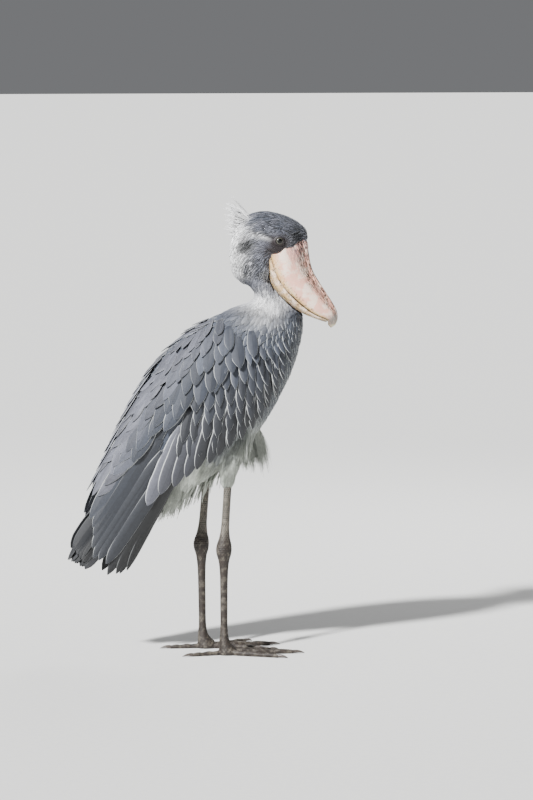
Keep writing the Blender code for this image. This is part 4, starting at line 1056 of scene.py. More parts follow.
contourFinish = featherFinish("featherBarbed", 0.00025, 0.62, 0.05, (0.66, 1.2))
plumeFinish = featherFinish("featherLoose", 0.0002, 0.75, 0.1, (0.7, 1.16))
shortFinish = featherFinish("featherShort", 0.0002, 0.75, 0.05, (0.5, 1.28))
skin.data.materials.clear()
skin.data.materials.append(hideFinish())


# Scattered coat
tractColumns = ("Tract", "Vanes", "Spacing", "Length", "Half Width", "Lift", "Sink", "Stray", "Seed", "Thickness",
                "Camber", "Finish")
tracts = {
    "headFeathers": ("tractHead", vanes["scale"], 0.0036, 0.0125, 0.0027, 0.0016, 0.0006, 0.24, 3, 0.0003, 0.3,
                     shortFinish),
    "neckPlumes": ("tractNeck", vanes["fine"], 0.0058, 0.04, 0.0056, 0.0024, 0.001, 0.16, 5, 0.0004, 0.3, plumeFinish),
    "breastFeathers": ("tractBreast", vanes["point"], 0.0082, 0.038, 0.0072, 0.0044, 0.0015, 0.13, 7, 0.0005, 0.25,
                       contourFinish),
    "mantleFeathers": ("tractMantle", vanes["point"], 0.0084, 0.036, 0.007, 0.005, 0.0015, 0.12, 11, 0.0005, 0.22,
                       contourFinish),
    "bellyPlumes": ("tractBelly", vanes["wisp"], 0.0105, 0.062, 0.008, 0.0045, 0.001, 0.2, 13, 0.0005, 0.3,
                    plumeFinish),
    "thighPlumes": ("tractThigh", vanes["wisp"], 0.007, 0.036, 0.0048, 0.003, 0.001, 0.14, 17, 0.0005, 0.3,
                    plumeFinish),
}
coats = {name: grown(name, skin, scatterPlumage, dict(zip(tractColumns, row))) for name, row in tracts.items()}


# Coat set feather by feather: wings, tail and crest
class Quills:
    # roots, places and looks of a group of vanes, kept until they are grown together
    def __init__(self):
        self.rows = []

    def add(self, root, mid, tip, rootOut, tipOut, halfWidth, tone, fringe, tint):
        self.rows.append((root, mid, tip, rootOut, tipOut, (halfWidth, tone, fringe), tint, (tip - root).length))

    def grow(self, name, shelf, **inputs):
        columns = list(zip(*self.rows))
        roots = np.array([tuple(v) for v in columns[0]])
        source = meshOf(name + "Roots", roots, [], False)
        for note, column in zip(("rootAt", "midAt", "tipAt", "rootOut", "tipOut", "span"), columns):
            writeNote(source, note, "FLOAT_VECTOR", [tuple(v) for v in column])
        writeNote(source, "tint", "FLOAT_COLOR", [(*c, 1.0) for c in columns[6]])
        writeNote(source, "vaneLength", "FLOAT", columns[7])
        writeNote(source, "rootUv", "FLOAT_VECTOR", np.insert(unwrapAt(roots, roots), 2, 0, axis=1))
        made = grown(name, source, layVanes, {"Vanes": shelf, **inputs})
        bpy.data.objects.remove(source, do_unlink=True)
        return made


def mixInk(first, second, share):
    return inks[first] * (1 - share) + inks[second] * share


def wingPlaces(side, tip, length, turn, lifts, roll):
    # root, middle and tip of a feather over the folded wing, and the ways out of its face
    angle, tilt = math.radians(turn), math.radians(roll)
    spots = []
    for t in (0.0, 0.5, 1.0):
        s = (1 - t) * length
        aft, up = tip[0] - s * math.cos(angle), tip[1] + s * math.sin(angle)
        spots.append(envelopeAt(aft, up, side, blend(*lifts, t)))
    ahead = (spots[2][0] - spots[0][0]).normalized()
    ways = []
    for _, out in (spots[0], spots[2]):
        across = ahead.cross(out).normalized() * side
        flat = (across.cross(ahead) * side).normalized()
        ways.append(flat * math.cos(tilt) + across * math.sin(tilt))
    return [spot for spot, _ in spots] + ways


# rows of the folded wing: tips (place, aft, up), length, half width and turn at front and rear, lifts, fringe, colours
covertLevels = (
    (((0, 0.12, -0.075), (0.35, 0.222, -0.073), (0.7, 0.328, -0.02), (1, 0.378, 0.043)),
     (0.07, 0.095), (0.0145, 0.017), (40, 22), (-0.0055, 0.0012), 1.0, ("slateDark", "slate", 0.1)),
    (((0, 0.085, -0.066), (0.4, 0.182, -0.04), (0.7, 0.248, -0.003), (1, 0.312, 0.047)),
     (0.056, 0.082), (0.012, 0.016), (44, 28), (-0.005, 0.003), 0.95, ("slateDark", "slate", 0.25)),
    (((0, 0.05, -0.057), (0.4, 0.125, -0.021), (0.7, 0.192, 0.016), (1, 0.252, 0.067)),
     (0.044, 0.074), (0.0095, 0.015), (46, 32), (-0.0065, 0.0044), 0.85, ("slateDark", "slate", 0.45)),
    (((0, 0.01, -0.038), (0.5, 0.075, 0.012), (1, 0.15, 0.064)),
     (0.032, 0.056), (0.0065, 0.012), (50, 36), (-0.0075, 0.0052), 0.7, ("slateDark", "slate", 0.85)),
)
scapularLevels = (
    (((0, 0.085, 0.04), (0.5, 0.215, 0.07), (1, 0.36, 0.098)),
     (0.064, 0.13), (0.016, 0.0215), (38, 16), (-0.0035, 0.0074), 0.6, ("slateDark", "slate", 0.55)),
    (((0, 0.09, 0.098), (0.5, 0.25, 0.124), (1, 0.47, 0.11)),
     (0.054, 0.15), (0.013, 0.0205), (26, 8), (-0.0035, 0.0088), 0.5, ("slateDark", "slate", 0.8)),
    (((0, 0.1, 0.14), (0.5, 0.29, 0.156), (1, 0.54, 0.108)),
     (0.042, 0.145), (0.0085, 0.0185), (12, 6), (-0.0035, 0.008), 0.45, ("slateDark", "lilac", 0.62)),
    (((0, 0.1, 0.166), (0.5, 0.32, 0.172), (1, 0.565, 0.116)),
     (0.04, 0.135), (0.008, 0.017), (0, 10), (-0.0035, 0.0066), 0.45, ("slateDark", "lilac", 0.7)),
)
flightRows = (
    (((0, 0.155, -0.068), (0.4, 0.29, -0.055), (0.7, 0.384, -0.023), (1, 0.498, 0.011)),
     12, (0.14, 0.205), (0.0175, 0.02), (30, 17), (-0.0075, -0.0015), 0.0003, 0.3, ("quill", "slateDark", 0.75)),
    (((0, 0.64, -0.062), (0.5, 0.664, -0.051), (1, 0.684, -0.023)),
     5, (0.25, 0.285), (0.015, 0.017), (15, 9), (-0.0085, -0.0068), 0.0007, 0.08, ("quill", "slateDark", 0.1)),
    (((0, 0.668, -0.004), (0.35, 0.672, 0.033), (0.7, 0.628, 0.063), (1, 0.604, 0.094)),
     7, (0.285, 0.32), (0.019, 0.019), (6, 9), (-0.004, 0.0005), 0.0006, 0.3, ("quill", "slate", 0.36)),
)
wingSizes = {"rows": 6, "scapularRows": 5, "roll": 5.0}


def levelAt(levels, level, place):
    # tip, then length, half width and turn, lifts, fringe and colour, between two levels of the table
    k = min(int(level), len(levels) - 2)
    low, high = (
        [*rowAt(tips, place), *(blend(*ends, place) for ends in spans), *lifts, fringe, *mixInk(*ink)]
        for tips, *spans, lifts, fringe, ink in levels[k : k + 2])
    mixed = [blend(a, b, level - k) for a, b in zip(low, high)]
    return mixed[:2], mixed[2:5], mixed[5:7], mixed[7], np.array(mixed[8:])


def rowOfWing(side, levels, level, quills, dice, stagger, pitch, stray):
    line = [levelAt(levels, level, place)[0] for place in spread(0, 1, 9)]
    length = sum(math.dist(a, b) for a, b in zip(line, line[1:]))
    count = max(4, round(length / (pitch * levelAt(levels, level, 0.5)[1][1])))
    for i in range(count):
        place = min(1.0, max(0.0, (i + stagger) / (count - 0.5)))
        tip, (reach, half, turn), lifts, fringe, ink = levelAt(levels, level, place)
        tip = [v + stray * dice.uniform(-0.006, 0.006) for v in tip]
        reach *= dice.uniform(0.88, 1.15)
        raised = [lifts[0], lifts[1] + stray * dice.uniform(-0.0006, 0.0018)]
        roll = wingSizes["roll"] + stray * dice.uniform(-5, 5)
        spots = wingPlaces(side, tip, reach, turn + stray * dice.uniform(-8, 8), raised, roll)
        shade = ink * dice.uniform(0.74, 1.15)
        quills.add(*spots, half * dice.uniform(0.86, 1.14), dice.random(), fringe * dice.uniform(0.65, 1.05), shade)


def dressWing(word, side):
    dice = random.Random(31 if side < 0 else 32)
    flights, coverts, scapulars = Quills(), Quills(), Quills()
    for tips, count, lengths, halves, turns, lifts, rise, fringe, ink in flightRows:
        for i in range(count):
            t = i / (count - 1)
            tip = [v + dice.uniform(-0.003, 0.003) for v in rowAt(tips, t)]
            spots = wingPlaces(side, tip, blend(*lengths, t) * dice.uniform(0.96, 1.04),
                               blend(*turns, t) + dice.uniform(-1.5, 1.5), [lift + rise * i for lift in lifts],
                               6 + dice.uniform(-1, 1))
            # painted highlight: the last feathers of the first row are laid paler, towards lilac
            pale = 0.75 * t**4 if tips[0][1] < 0.3 else 0.0
            shade = mixInk(*ink[:2], min(1.0, ink[2] * dice.uniform(0.6, 1.3)))
            flights.add(*spots, blend(*halves, t), dice.random(), min(1.0, fringe * (1 + t)),
                        blend(shade, inks["lilac"], pale))
    for levels, quills, rows, pitch, stray in ((covertLevels, coverts, wingSizes["rows"], 1.85, 0.5),
                                               (scapularLevels, scapulars, wingSizes["scapularRows"], 1.62, 1.0)):
        for i, level in enumerate(spread(0, 3, rows)):
            rowOfWing(side, levels, level, quills, dice, 0.5 * (i % 2), pitch, stray)
    return [
        flights.grow(f"flightFeathers_{word}", vanes["long"], Thickness=0.0007, Camber=0.16, Finish=contourFinish),
        coverts.grow(f"coverts_{word}", vanes["point"], Thickness=0.0006, Camber=0.2, Finish=contourFinish),
        scapulars.grow(f"scapulars_{word}", vanes["blade"], Thickness=0.0006, Camber=0.2, Finish=contourFinish),
    ]


wings = {word: dressWing(word, side) for word, side in sides.items()}


def dressTail():
    dice = random.Random(41)
    quills = Quills()
    start, way, length, up = tailFrame()
    for i in range(tailSizes["feathers"]):
        t = (i - 4.5) / 4.5
        lean = abs(t)
        root = start + way * 0.045 + lateral * 0.022 * t + up * (0.02 - 0.026 * lean * lean)
        end = start + way * (length * (1.0 - 0.035 * lean)) + lateral * 0.024 * math.sin(1.3 * t)
        end += up * (0.02 - 0.042 * lean**1.6)
        tilt = 1.25 * t
        flat = up * math.cos(tilt) + lateral * math.sin(tilt)
        sink = flat * (-0.0012 if i % 2 else 0.001)
        root, end = root + sink, end + sink
        middle = (root + end) / 2 + up * tailSizes["arch"] * (1 - 0.5 * lean) + flat * 0.002
        quills.add(root, middle, end, flat, flat, tailSizes["halfWidth"], dice.random(), 0.05,
                   mixInk("quill", "slateDark", 0.35))
    # broad dark feathers over the tail's sides
    for side in sides.values():
        for i in range(4):
            share = i / 3
            root = start + way * 0.05 + lateral * side * (0.026 - 0.004 * share) + up * (0.006 + 0.008 * share)
            end = start + way * length * (0.935 - 0.03 * share) + lateral * side * (0.0245 - 0.004 * share)
            end += up * (-0.006 + 0.011 * i)
            flat = (lateral * side + up * 0.25 * share).normalized()
            middle = (root + end) / 2 + up * 0.012 * share + flat * 0.003
            quills.add(root, middle, end, flat, flat, 0.0185, dice.random(), 0.08,
                       mixInk("quill", "slateDark", 0.2 * i))
    # short feathers over the tail's root
    for _ in range(26):
        t = dice.uniform(-1, 1)
        root = start + way * dice.uniform(0.0, 0.07) + lateral * 0.024 * t + up * (0.022 - 0.022 * t * t)
        flat = (up * math.cos(1.1 * t) + lateral * math.sin(1.1 * t)).normalized()
        end = root + way * dice.uniform(0.055, 0.085) + flat * 0.002
        quills.add(root - flat * 0.003, (root + end) / 2 + flat * 0.002, end, flat, flat, 0.011, dice.random(), 0.3,
                   mixInk("slateDark", "slate", 0.5))
    return quills.grow("tailFeathers", vanes["long"], Thickness=0.0007, Camber=0.14, Finish=contourFinish)


tailFeathers = dressTail()


def dressVent():
    # loose pale plumes under the tail's root and between the legs
    dice = random.Random(43)
    quills = Quills()
    start, way, _, up = tailFrame()
    for _ in range(70):
        share = dice.random()
        root = start + way * (0.09 * share - 0.01) - up * (0.024 - 0.01 * share)
        root += lateral * dice.uniform(-0.022, 0.022)
        lean = (way * (0.9 - 0.2 * share) - up * dice.uniform(0.25, 0.62) + Vector((0, 0, -0.2))
                + lateral * dice.uniform(-0.12, 0.12))
        tip = root + lean.normalized() * dice.uniform(0.055, 0.09)
        out = Vector((dice.uniform(-0.4, 0.4), 1 if root.y > 0 else -1, dice.uniform(-0.3, 0.3)))
        quills.add(root, (root + tip) / 2 + Vector((0, 0, 0.003)), tip + Vector((0, 0, -0.004)), out, out,
                   dice.uniform(0.007, 0.01), dice.random(), 0.2, mixInk("plume", "slate", dice.uniform(0, 0.35)))
    for _ in range(90):
        share = dice.random()
        aft = 0.192 + 0.065 * share
        y = 0.016 * dice.uniform(-1, 1)
        root = bodyPoint(aft, rowAt(torsoRows, aft)[1] + 0.01, y)
        lean = Vector((0.3 - 0.2 * share + dice.uniform(-0.06, 0.06), dice.uniform(-0.1, 0.1), -1)).normalized()
        tip = root + lean * (0.128 - 0.065 * share) * dice.uniform(0.66, 1.04)
        out = Vector((dice.uniform(-0.5, 0.5), 1 if y > 0 else -1, 0))
        quills.add(root, (root + tip) / 2 + Vector((0.004, 0, 0)), tip, out, out, dice.uniform(0.0045, 0.007),
                   dice.random(), 0.2, mixInk("plume", "slate", dice.uniform(0, 0.25)))
    return quills.grow("ventPlumes", vanes["wisp"], Thickness=0.0005, Camber=0.3, Finish=plumeFinish)


ventPlumes = dressVent()

# the crest's rows: place and height of the roots, length and rise in degrees
crestRows = ((-0.016, 1.024, 0.066, 46), (-0.026, 1.015, 0.06, 44), (-0.036, 1.005, 0.048, 42),
             (-0.044, 0.995, 0.034, 40))


def dressCrest():
    dice = random.Random(47)
    quills = Quills()
    for x, z, length, lift in crestRows:
        for i in range(46):
            t = (i - 22.5) / 16.0
            angle = math.radians(lift - 9 * abs(t) + dice.uniform(-22, 12))
            root = Vector((x + 0.004 * abs(t) + dice.uniform(-0.004, 0.004), 0.014 * t, z - 0.006 * t * t - 0.003))
            way = Vector((-math.cos(angle), 0.26 * t + dice.uniform(-0.16, 0.16), math.sin(angle)))
            out = headSpin @ Vector((math.sin(angle), dice.uniform(-0.5, 0.5), math.cos(angle)))
            reach = length * (0.5 + 0.62 * dice.random() ** 1.3)
            base = headTurned(root)
            tip = base + headSpin @ way.normalized() * reach
            quills.add(base, (base + tip) / 2 + out * 0.002, tip, out, out, dice.uniform(0.0026, 0.0046),
                       dice.random(), 0.3, mixInk("lilac", "nearWhite", dice.uniform(0.8, 1.0)))
    return quills.grow("crestPlumes", vanes["lance"], Thickness=0.0004, Camber=0.3, Finish=plumeFinish)


crestPlumes = dressCrest()
print("coat grown")


# Bill: one horn sheath above, one below
culmenRows = ((-0.02, 0.088), (0.021, 0.085), (0.039, 0.075), (0.071, 0.0605), (0.094, 0.0555), (0.124, 0.054),
              (0.154, 0.053), (0.183, 0.051), (0.2, 0.046), (0.211, 0.037), (0.217, 0.027))
mouthRows = ((-0.02, 0.002), (0.0, -0.001), (0.03, -0.011), (0.06, -0.016), (0.09, -0.015), (0.115, -0.0105),
             (0.15, -0.002), (0.175, 0.0085), (0.193, 0.0195), (0.2, 0.019), (0.206, 0.015), (0.217, 0.0155))
chinRows = ((-0.012, -0.014), (0.014, -0.023), (0.028, -0.0305), (0.05, -0.039), (0.068, -0.041), (0.091, -0.038),
            (0.111, -0.0335), (0.131, -0.0275), (0.156, -0.016), (0.178, -0.002), (0.193, 0.009), (0.2, 0.015))
billWidthRows = ((-0.02, 0.045), (0.0, 0.05), (0.03, 0.053), (0.06, 0.053), (0.1, 0.049), (0.13, 0.043),
                 (0.16, 0.035), (0.18, 0.027), (0.195, 0.019), (0.205, 0.012), (0.212, 0.007), (0.217, 0.003))
# half section, ridge to cutting edge: place, share of half width, share of height
upperSection = ((0, 0.0, 1.0), (1, 0.1, 0.992), (2, 0.155, 0.965), (3, 0.2, 0.905), (4, 0.235, 0.872),
                (5, 0.33, 0.85), (6, 0.52, 0.77), (7, 0.72, 0.645), (8, 0.88, 0.475), (9, 0.97, 0.31),
                (10, 1.0, 0.175), (11, 0.995, 0.075), (12, 0.965, 0.0), (13, 0.9, 0.012), (14, 0.6, 0.05),
                (15, 0.0, 0.07))
lowerSection = ((0, 0.0, 0.94), (1, 0.6, 0.95), (2, 0.9, 0.985), (3, 0.945, 1.0), (4, 0.975, 0.9), (5, 0.975, 0.65),
                (6, 0.9, 0.38), (7, 0.72, 0.16), (8, 0.48, 0.05), (9, 0.25, 0.0), (10, 0.0, -0.02))
billSizes = {"start": -0.012, "length": 0.2165, "lowerLength": 0.1985, "rings": 120, "points": 46, "waver": 0.00035}


def billShell(name, isUpper):
    rows = upperSection if isUpper else lowerSection
    last, start, waver = rows[-1][0], billSizes["start"], billSizes["waver"]
    end = billSizes["length" if isUpper else "lowerLength"]
    rings, notes = [], []
    for t in spread(0.0, 1.0, billSizes["rings"]):
        along = start + (end - start) * (1 - (1 - t) ** 1.25)
        mouth, culmen, half = (rowAt(table, along) for table in (mouthRows, culmenRows, billWidthRows))
        low, top = (mouth, culmen) if isUpper else (rowAt(chinRows, along), mouth - 0.0006)
        middle = billPoint(along, (low + top) / 2)
        rings.append([])
        for place in spread(0, 2 * last, 2 * billSizes["points"] + 1)[:-1]:
            side = 1 if place <= last else -1
            across, up = rowAt(rows, min(place, 2 * last - place))
            y, high = half * across * side, low + (top - low) * up
            spot = billPoint(along, high, y)
            # slow waves and faint growth lines of the horn, and the nostril's slit
            wave = noise.noise(Vector((along * 55, up * 6, y * 60))) * waver
            wave += noise.noise(Vector((along * 18, up * 30, side * 4.0))) * waver * 0.9
            wave += 0.00014 * math.sin(along * 900 + 5 * up) * max(0.0, 1 - along / 0.08)
            if isUpper and 0.15 < across < 0.5:
                wave -= 0.0045 * math.exp(-(((along - 0.03) / 0.0085) ** 2) - ((high - culmen * 0.875) / 0.0016) ** 2)
            rings[-1].append(spot + (spot - middle).normalized() * wave)
            notes.append((along / billSizes["length"], up, across))
    made = meshOf(name, *tubeParts(rings))
    writeNote(made, "billAt", "FLOAT_VECTOR", notes + [(0.0, 0.5, 0.0), (1.0, 0.5, 0.0)])
    return reshaped(made, None)


billColours = {
    "cream": "#fae3d1", "pink": "#f0b9a4", "yellow": "#d0a869", "tan": "#805f50", "mauve": "#886b6c",
    "fleck": "#2f2621", "grey": "#77726c", "paleTip": "#d3c9a8", "olive": "#8f7844", "mouthGapShade": "#33281f",
}
# stains of the horn, and a painted shade along the mouth's gap, laid in turn: colour, then each thing it follows with
# its span and the shares there
upperStainsAndShade = (
    ("pink", ("broad", 0.42, 0.56, 0.1, 1.0)),
    ("yellow", ("up", 0.26, 0.03), ("streak", 0.38, 0.56, 0.35, 1.0)),
    ("tan", ("up", 0.58, 0.8), ("streak", 0.42, 0.54, 0.0, 0.85)),
    ("mauve", ("along", 0.4, 0.04), ("up", 0.3, 0.66), ("streak", 0.42, 0.54, 0.2, 1.0)),
    ("fleck", ("up", 0.58, 0.8), ("streak", 0.48, 0.55), ("small", 0.42, 0.52)),
    ("grey", ("along", 0.84, 0.94), ("streak", 0.4, 0.54, 0.5, 1.0)),
    ("paleTip", ("along", 0.955, 0.99), ("small", 0.4, 0.55)),
    ("olive", ("up", 0.11, 0.03), ("along", 0.3, 0.5, 0.25, 1.0), ("small", 0.38, 0.54, 0.4, 1.0)),
    # painted shade: a dark line along the upper cutting edge, at the gap between the mandibles
    ("mouthGapShade", ("up", 0.035, 0.012), ("along", 0.3, 0.5, 0.25, 0.95)),
)
lowerStainsAndShade = (
    ("yellow", ("broad", 0.4, 0.58, 0.15, 0.8)),
    ("olive", ("up", 0.8, 0.3), ("streak", 0.4, 0.55, 0.25, 0.95)),
    ("fleck", ("streak", 0.51, 0.58), ("small", 0.44, 0.53)),
    ("grey", ("along", 0.8, 0.92, 0.0, 0.55)),
    # painted shade: a dark line along the lower mandible's top edge, at the gap under the upper one
    ("mouthGapShade", ("up", 0.9, 0.97), ("along", 0.3, 0.5, 0.3, 0.95)),
)


def hornFinish(name, stainsAndShade):
    # keratin horn, grown and worn: dull satin, blotched pink and cream, flecked along the ridge, with painted shade
    # along the mouth's gap
    made, tree = startFinish(name, 0.42, IOR=1.54, Subsurface_Weight=0.05, Subsurface_Scale=0.003)
    at = noteOf(tree, "billAt")
    along, up, _ = partsOf(tree, at)
    # streaks run along the bill: its own length is squeezed before the noise is read
    streakAt = addNode(tree, "ShaderNodeMapping", None, {"Vector": at, "Scale": (17.0, 52.0, 14.0)}).outputs[0]
    fields = {
        "along": along, "up": up, "broad": noiseOf(tree, objectOf(tree), 46.0, 3.0),
        "small": noiseOf(tree, objectOf(tree), 190.0, 6.0), "streak": noiseOf(tree, streakAt, 1.0, 5.0, 0.6),
    }
    ink = inksOf(**billColours)
    tint = ink["cream"]

    def shareOf(field, low, high, first=0.0, last=1.0):
        return rampOf(tree, fields[field], low, high, first, last, "SMOOTHSTEP")

    for colour, *factors in stainsAndShade:
        tint = mixOf(tree, timesOf(tree, *(shareOf(*factor) for factor in factors)), tint, ink[colour])
    rims = mathOf(tree, "MAXIMUM", shareOf("up", 0.3, 0.1), shareOf("up", 0.6, 0.8))
    tint = mixOf(tree, timesOf(tree, shareOf("small", 0.57, 0.65, 0.0, 0.7), rims), tint, ink["fleck"])
    return endFinish(made, tint, mathOf(tree, "ADD", fields["streak"], fields["small"]), 0.45, 0.0006,
                     Roughness=rampOf(tree, fields["small"], 0.3, 0.7, 0.34, 0.55))


billUpper = billShell("billUpperHorn", True)
billLower = billShell("billLowerHorn", False)
billUpper.data.materials.append(hornFinish("billHornWorn", upperStainsAndShade))
billLower.data.materials.append(hornFinish("billHornLower", lowerStainsAndShade))
print("bill shaped")

# Eyes: ball with a shallow cornea, iris and pupil by the angle from the way it looks
eyeSizes = {"cornea": 0.0009, "rings": 40, "points": 48}


def eyeBall(name, side):
    centre, look, _ = eyeFrame(side)
    radius, cornea, count = skinSizes["eyeRadius"], eyeSizes["cornea"], eyeSizes["points"]
    turn = look.to_track_quat("Z", "Y").to_matrix()
    rings, notes = [], []
    for k in range(1, eyeSizes["rings"]):
        polar = math.pi * k / eyeSizes["rings"]
        out = radius + cornea * math.exp(-((math.degrees(polar) / 34) ** 2))
        wide, deep = math.sin(polar), math.cos(polar)
        rings.append(ringOf(count, lambda c, s: centre + turn @ Vector((wide * c, wide * s, deep)) * out))
        notes += [(math.degrees(polar) / 90, i / count, 0.0) for i in range(count)]
    verts, faces = tubeParts(rings)
    verts[-2:] = centre + look * (radius + cornea), centre - look * radius
    made = meshOf(name, verts, faces)
    writeNote(made, "irisAt", "FLOAT_VECTOR", notes + [(0, 0, 0), (2, 0, 0)])
    return reshaped(made, None)


def eyeFinish():
    # wet eye: clear coat over a pale grey iris with a dark rim and a black pupil
    made, tree = startFinish("eyeWet", 0.35, IOR=1.38, Coat_Weight=0.35, Coat_Roughness=0.03, Specular_IOR_Level=0.25)
    off, turn, _ = partsOf(tree, noteOf(tree, "irisAt"))
    rays = noiseOf(tree, joinedOf(tree, turn, off), 42.0, noise_dimensions="2D")
    ramp = addNode(tree, "ShaderNodeValToRGB", None, {0: off})
    stops = ((0.0, "#020202"), (0.31, "#030303"), (0.33, "#33322e"), (0.39, "#5a5950"), (0.44, "#45443c"),
             (0.47, "#211f1d"), (0.51, "#0f0d0d"), (1.0, "#1e1918"))
    points = ramp.color_ramp.elements
    while len(points) < len(stops):
        points.new(0.5)
    for point, (place, code) in zip(points, stops):
        point.position = place
        point.color = (*hexLinear(code), 1)
    return endFinish(made, scaledOf(tree, ramp.outputs[0], rampOf(tree, rays, 0.3, 0.7, 0.8, 1.15)))


eyeGloss = eyeFinish()
eyes = {word: eyeBall(f"eyeBall_{word}", side) for word, side in sides.items()}
for eye in eyes.values():
    eye.data.materials.append(eyeGloss)

# Legs and feet: one scaly skin a leg, and the claws
legRows = ((-0.4, 0.0092, 0.0085), (-0.35, 0.009, 0.0082), (-0.3, 0.0098, 0.0088), (-0.276, 0.013, 0.011),
           (-0.264, 0.0166, 0.0131), (-0.253, 0.0185, 0.0142), (-0.24, 0.0175, 0.0138), (-0.222, 0.0125, 0.0108),
           (-0.19, 0.0095, 0.0088), (-0.11, 0.0085, 0.008), (-0.055, 0.0088, 0.0092), (-0.032, 0.0125, 0.0125),
           (-0.016, 0.02, 0.016), (-0.005, 0.023, 0.0175), (0.0, 0.0215, 0.016))
footShift = ((0.0, 0.011), (0.016, 0.0085), (0.032, 0.0015), (0.06, 0.0))
# toes: heading, length, thickness, claw, where the toe starts and how far out its length is measured from
toeRows = (("middle", 4, 0.14, 0.0125, 0.024, 0.012, 0.03), ("inner", -18, 0.1, 0.0115, 0.021, 0.012, 0.03),
           ("outer", 30, 0.108, 0.0115, 0.021, 0.012, 0.03), ("hind", 174, 0.072, 0.0105, 0.022, 0.002, 0.008))
toeShape = ((0.0, 1.0, 0.7), (0.15, 0.95, 0.86), (0.34, 0.8, 0.76), (0.44, 0.92, 0.88), (0.66, 0.7, 0.7),
            (0.76, 0.8, 0.8), (0.92, 0.66, 0.68), (0.97, 0.56, 0.6))
legSizes = {"grain": 0.00125, "scutesRound": 11, "scuteHeight": 0.0052, "relief": 0.00065, "toeScute": 0.0056,
            "pad": 0.003, "wrinkle": 0.0048}


def legMiddle(word, z):
    if z > heelHeight:
        return blend(heelAt[word], shankTop[word], (z - heelHeight) / (thighEnd - heelHeight))
    return blend(heelAt[word], footAt[word], 1 - z / heelHeight) + rowAt(footShift, z)


def flatRing(base, ahead, width, height, count=22):
    across = Vector((-ahead.y, ahead.x, 0))
    ring = [base + across * width * 0.62, base - across * width * 0.62]
    for angle in spread(-0.12 * math.pi, 1.12 * math.pi, count - 2):
        ring.append(base - across * width * math.cos(angle) + Vector((0, 0, height * (0.5 + 0.5 * math.sin(angle)))))
    return ring


def toeLine(word, side, heading):
    angle = math.radians(heading) * side
    return Vector((footAt[word], side * bird["legSpread"], 0)), Vector((math.cos(angle), math.sin(angle), 0))


def hexCells(u, v):
    # nearest and second nearest centre of a honeycomb, u and v in cells
    best, second = np.full(len(u), 9.0), np.full(len(u), 9.0)
    label = np.zeros(len(u))
    v = v / 0.866
    for dr in (-1, 0, 1):
        row = np.round(v) + dr
        shift = 0.5 * (row % 2)
        for dc in (-1, 0, 1):
            column = np.round(u - shift) + dc + shift
            away = np.hypot(u - column, (v - row) * 0.866)
            closer = away < best
            second = np.where(closer, best, np.minimum(second, away))
            label = np.where(closer, column * 13.7 + row * 7.3, label)
            best = np.where(closer, away, best)
    return second - best, label


def buildLeg(word, side):
    sideAt = side * bird["legSpread"]
    parts = [tubeOf("shaft", [roundRing(Vector((legMiddle(word, z), sideAt, z)), *rowAt(legRows, -z), 36)
                              for z in spread(0.4, 0.0, 90)])]
    for _, heading, length, thick, _, start, base in toeRows:
        centre, ahead = toeLine(word, side, heading)
        rings = []
        for t in spread(0.0, 0.97, 46):
            tall, broad = rowAt(toeShape, t)
            rings.append(flatRing(centre + ahead * (start + t * (base + length - start)), ahead, thick * broad * 0.62,
                                  thick * tall * 1.15))
        parts.append(tubeOf("toe", rings))
    made = reshaped(fusedByVoxels(joined(f"leg_{word}", parts), legSizes["grain"]),
                    lambda shape: softened(shape, shape.verts, 3), False)
    points, normals = places(made), places(made, "normal")
    z = points[:, 2]
    middles = np.array([legMiddle(word, min(0.4, max(0.0, v))) for v in z])
    u = np.arctan2(points[:, 1] - sideAt, points[:, 0] - middles) / (2 * math.pi) * legSizes["scutesRound"]
    edge, label = hexCells(u, z / legSizes["scuteHeight"])
    # on the toes the scutes run across the top and small pads lie below
    x, y = points[:, 0] - footAt[word], points[:, 1] - sideAt
    onToe = smoothStep(0.028, 0.036, np.hypot(x, y)) * (z < 0.03)
    bestAlong, bestOff = np.zeros(len(z)), np.full(len(z), 9.0)
    for _, heading, *_ in toeRows:
        along, off = spun(x, y, math.radians(heading) * side)
        off = np.abs(off) + (along < 0)
        bestAlong = np.where(off < bestOff, along, bestAlong)
        bestOff = np.minimum(off, bestOff)
    ring = bestAlong / legSizes["toeScute"]
    top = smoothStep(0.15, 0.45, normals[:, 2])
    pads = hexCells(bestAlong / legSizes["pad"], (bestOff + z) / legSizes["pad"])[0]
    toeEdge = (0.5 - np.abs(ring - np.floor(ring) - 0.5)) * top * 1.6 + pads * (1 - top)
    edge = edge * (1 - onToe) + toeEdge * onToe
    label = np.where(onToe > 0.5, np.floor(ring) * 5.1, label)
    wrinkle = np.sin(z * 2 * math.pi / legSizes["wrinkle"] + 0.8 * np.sin(u * 2.2)) * bump(z - 0.252, 0.012)
    raised = legSizes["relief"] * (smoothStep(0.0, 0.32, edge) - 0.6) + 0.0006 * wrinkle
    points = points + normals * raised[:, None]
    points[:, 2] = np.where(z < 0.0012, 0.0, np.maximum(points[:, 2], 0.0))
    movePlaces(made, points)
    shade = (np.sin(label * 12.9898) * 43758.5453) % 1.0
    writeNote(made, "scuteAt", "FLOAT_VECTOR", np.stack([edge, shade, smoothStep(0.262, 0.3, z)], 1))
    return made


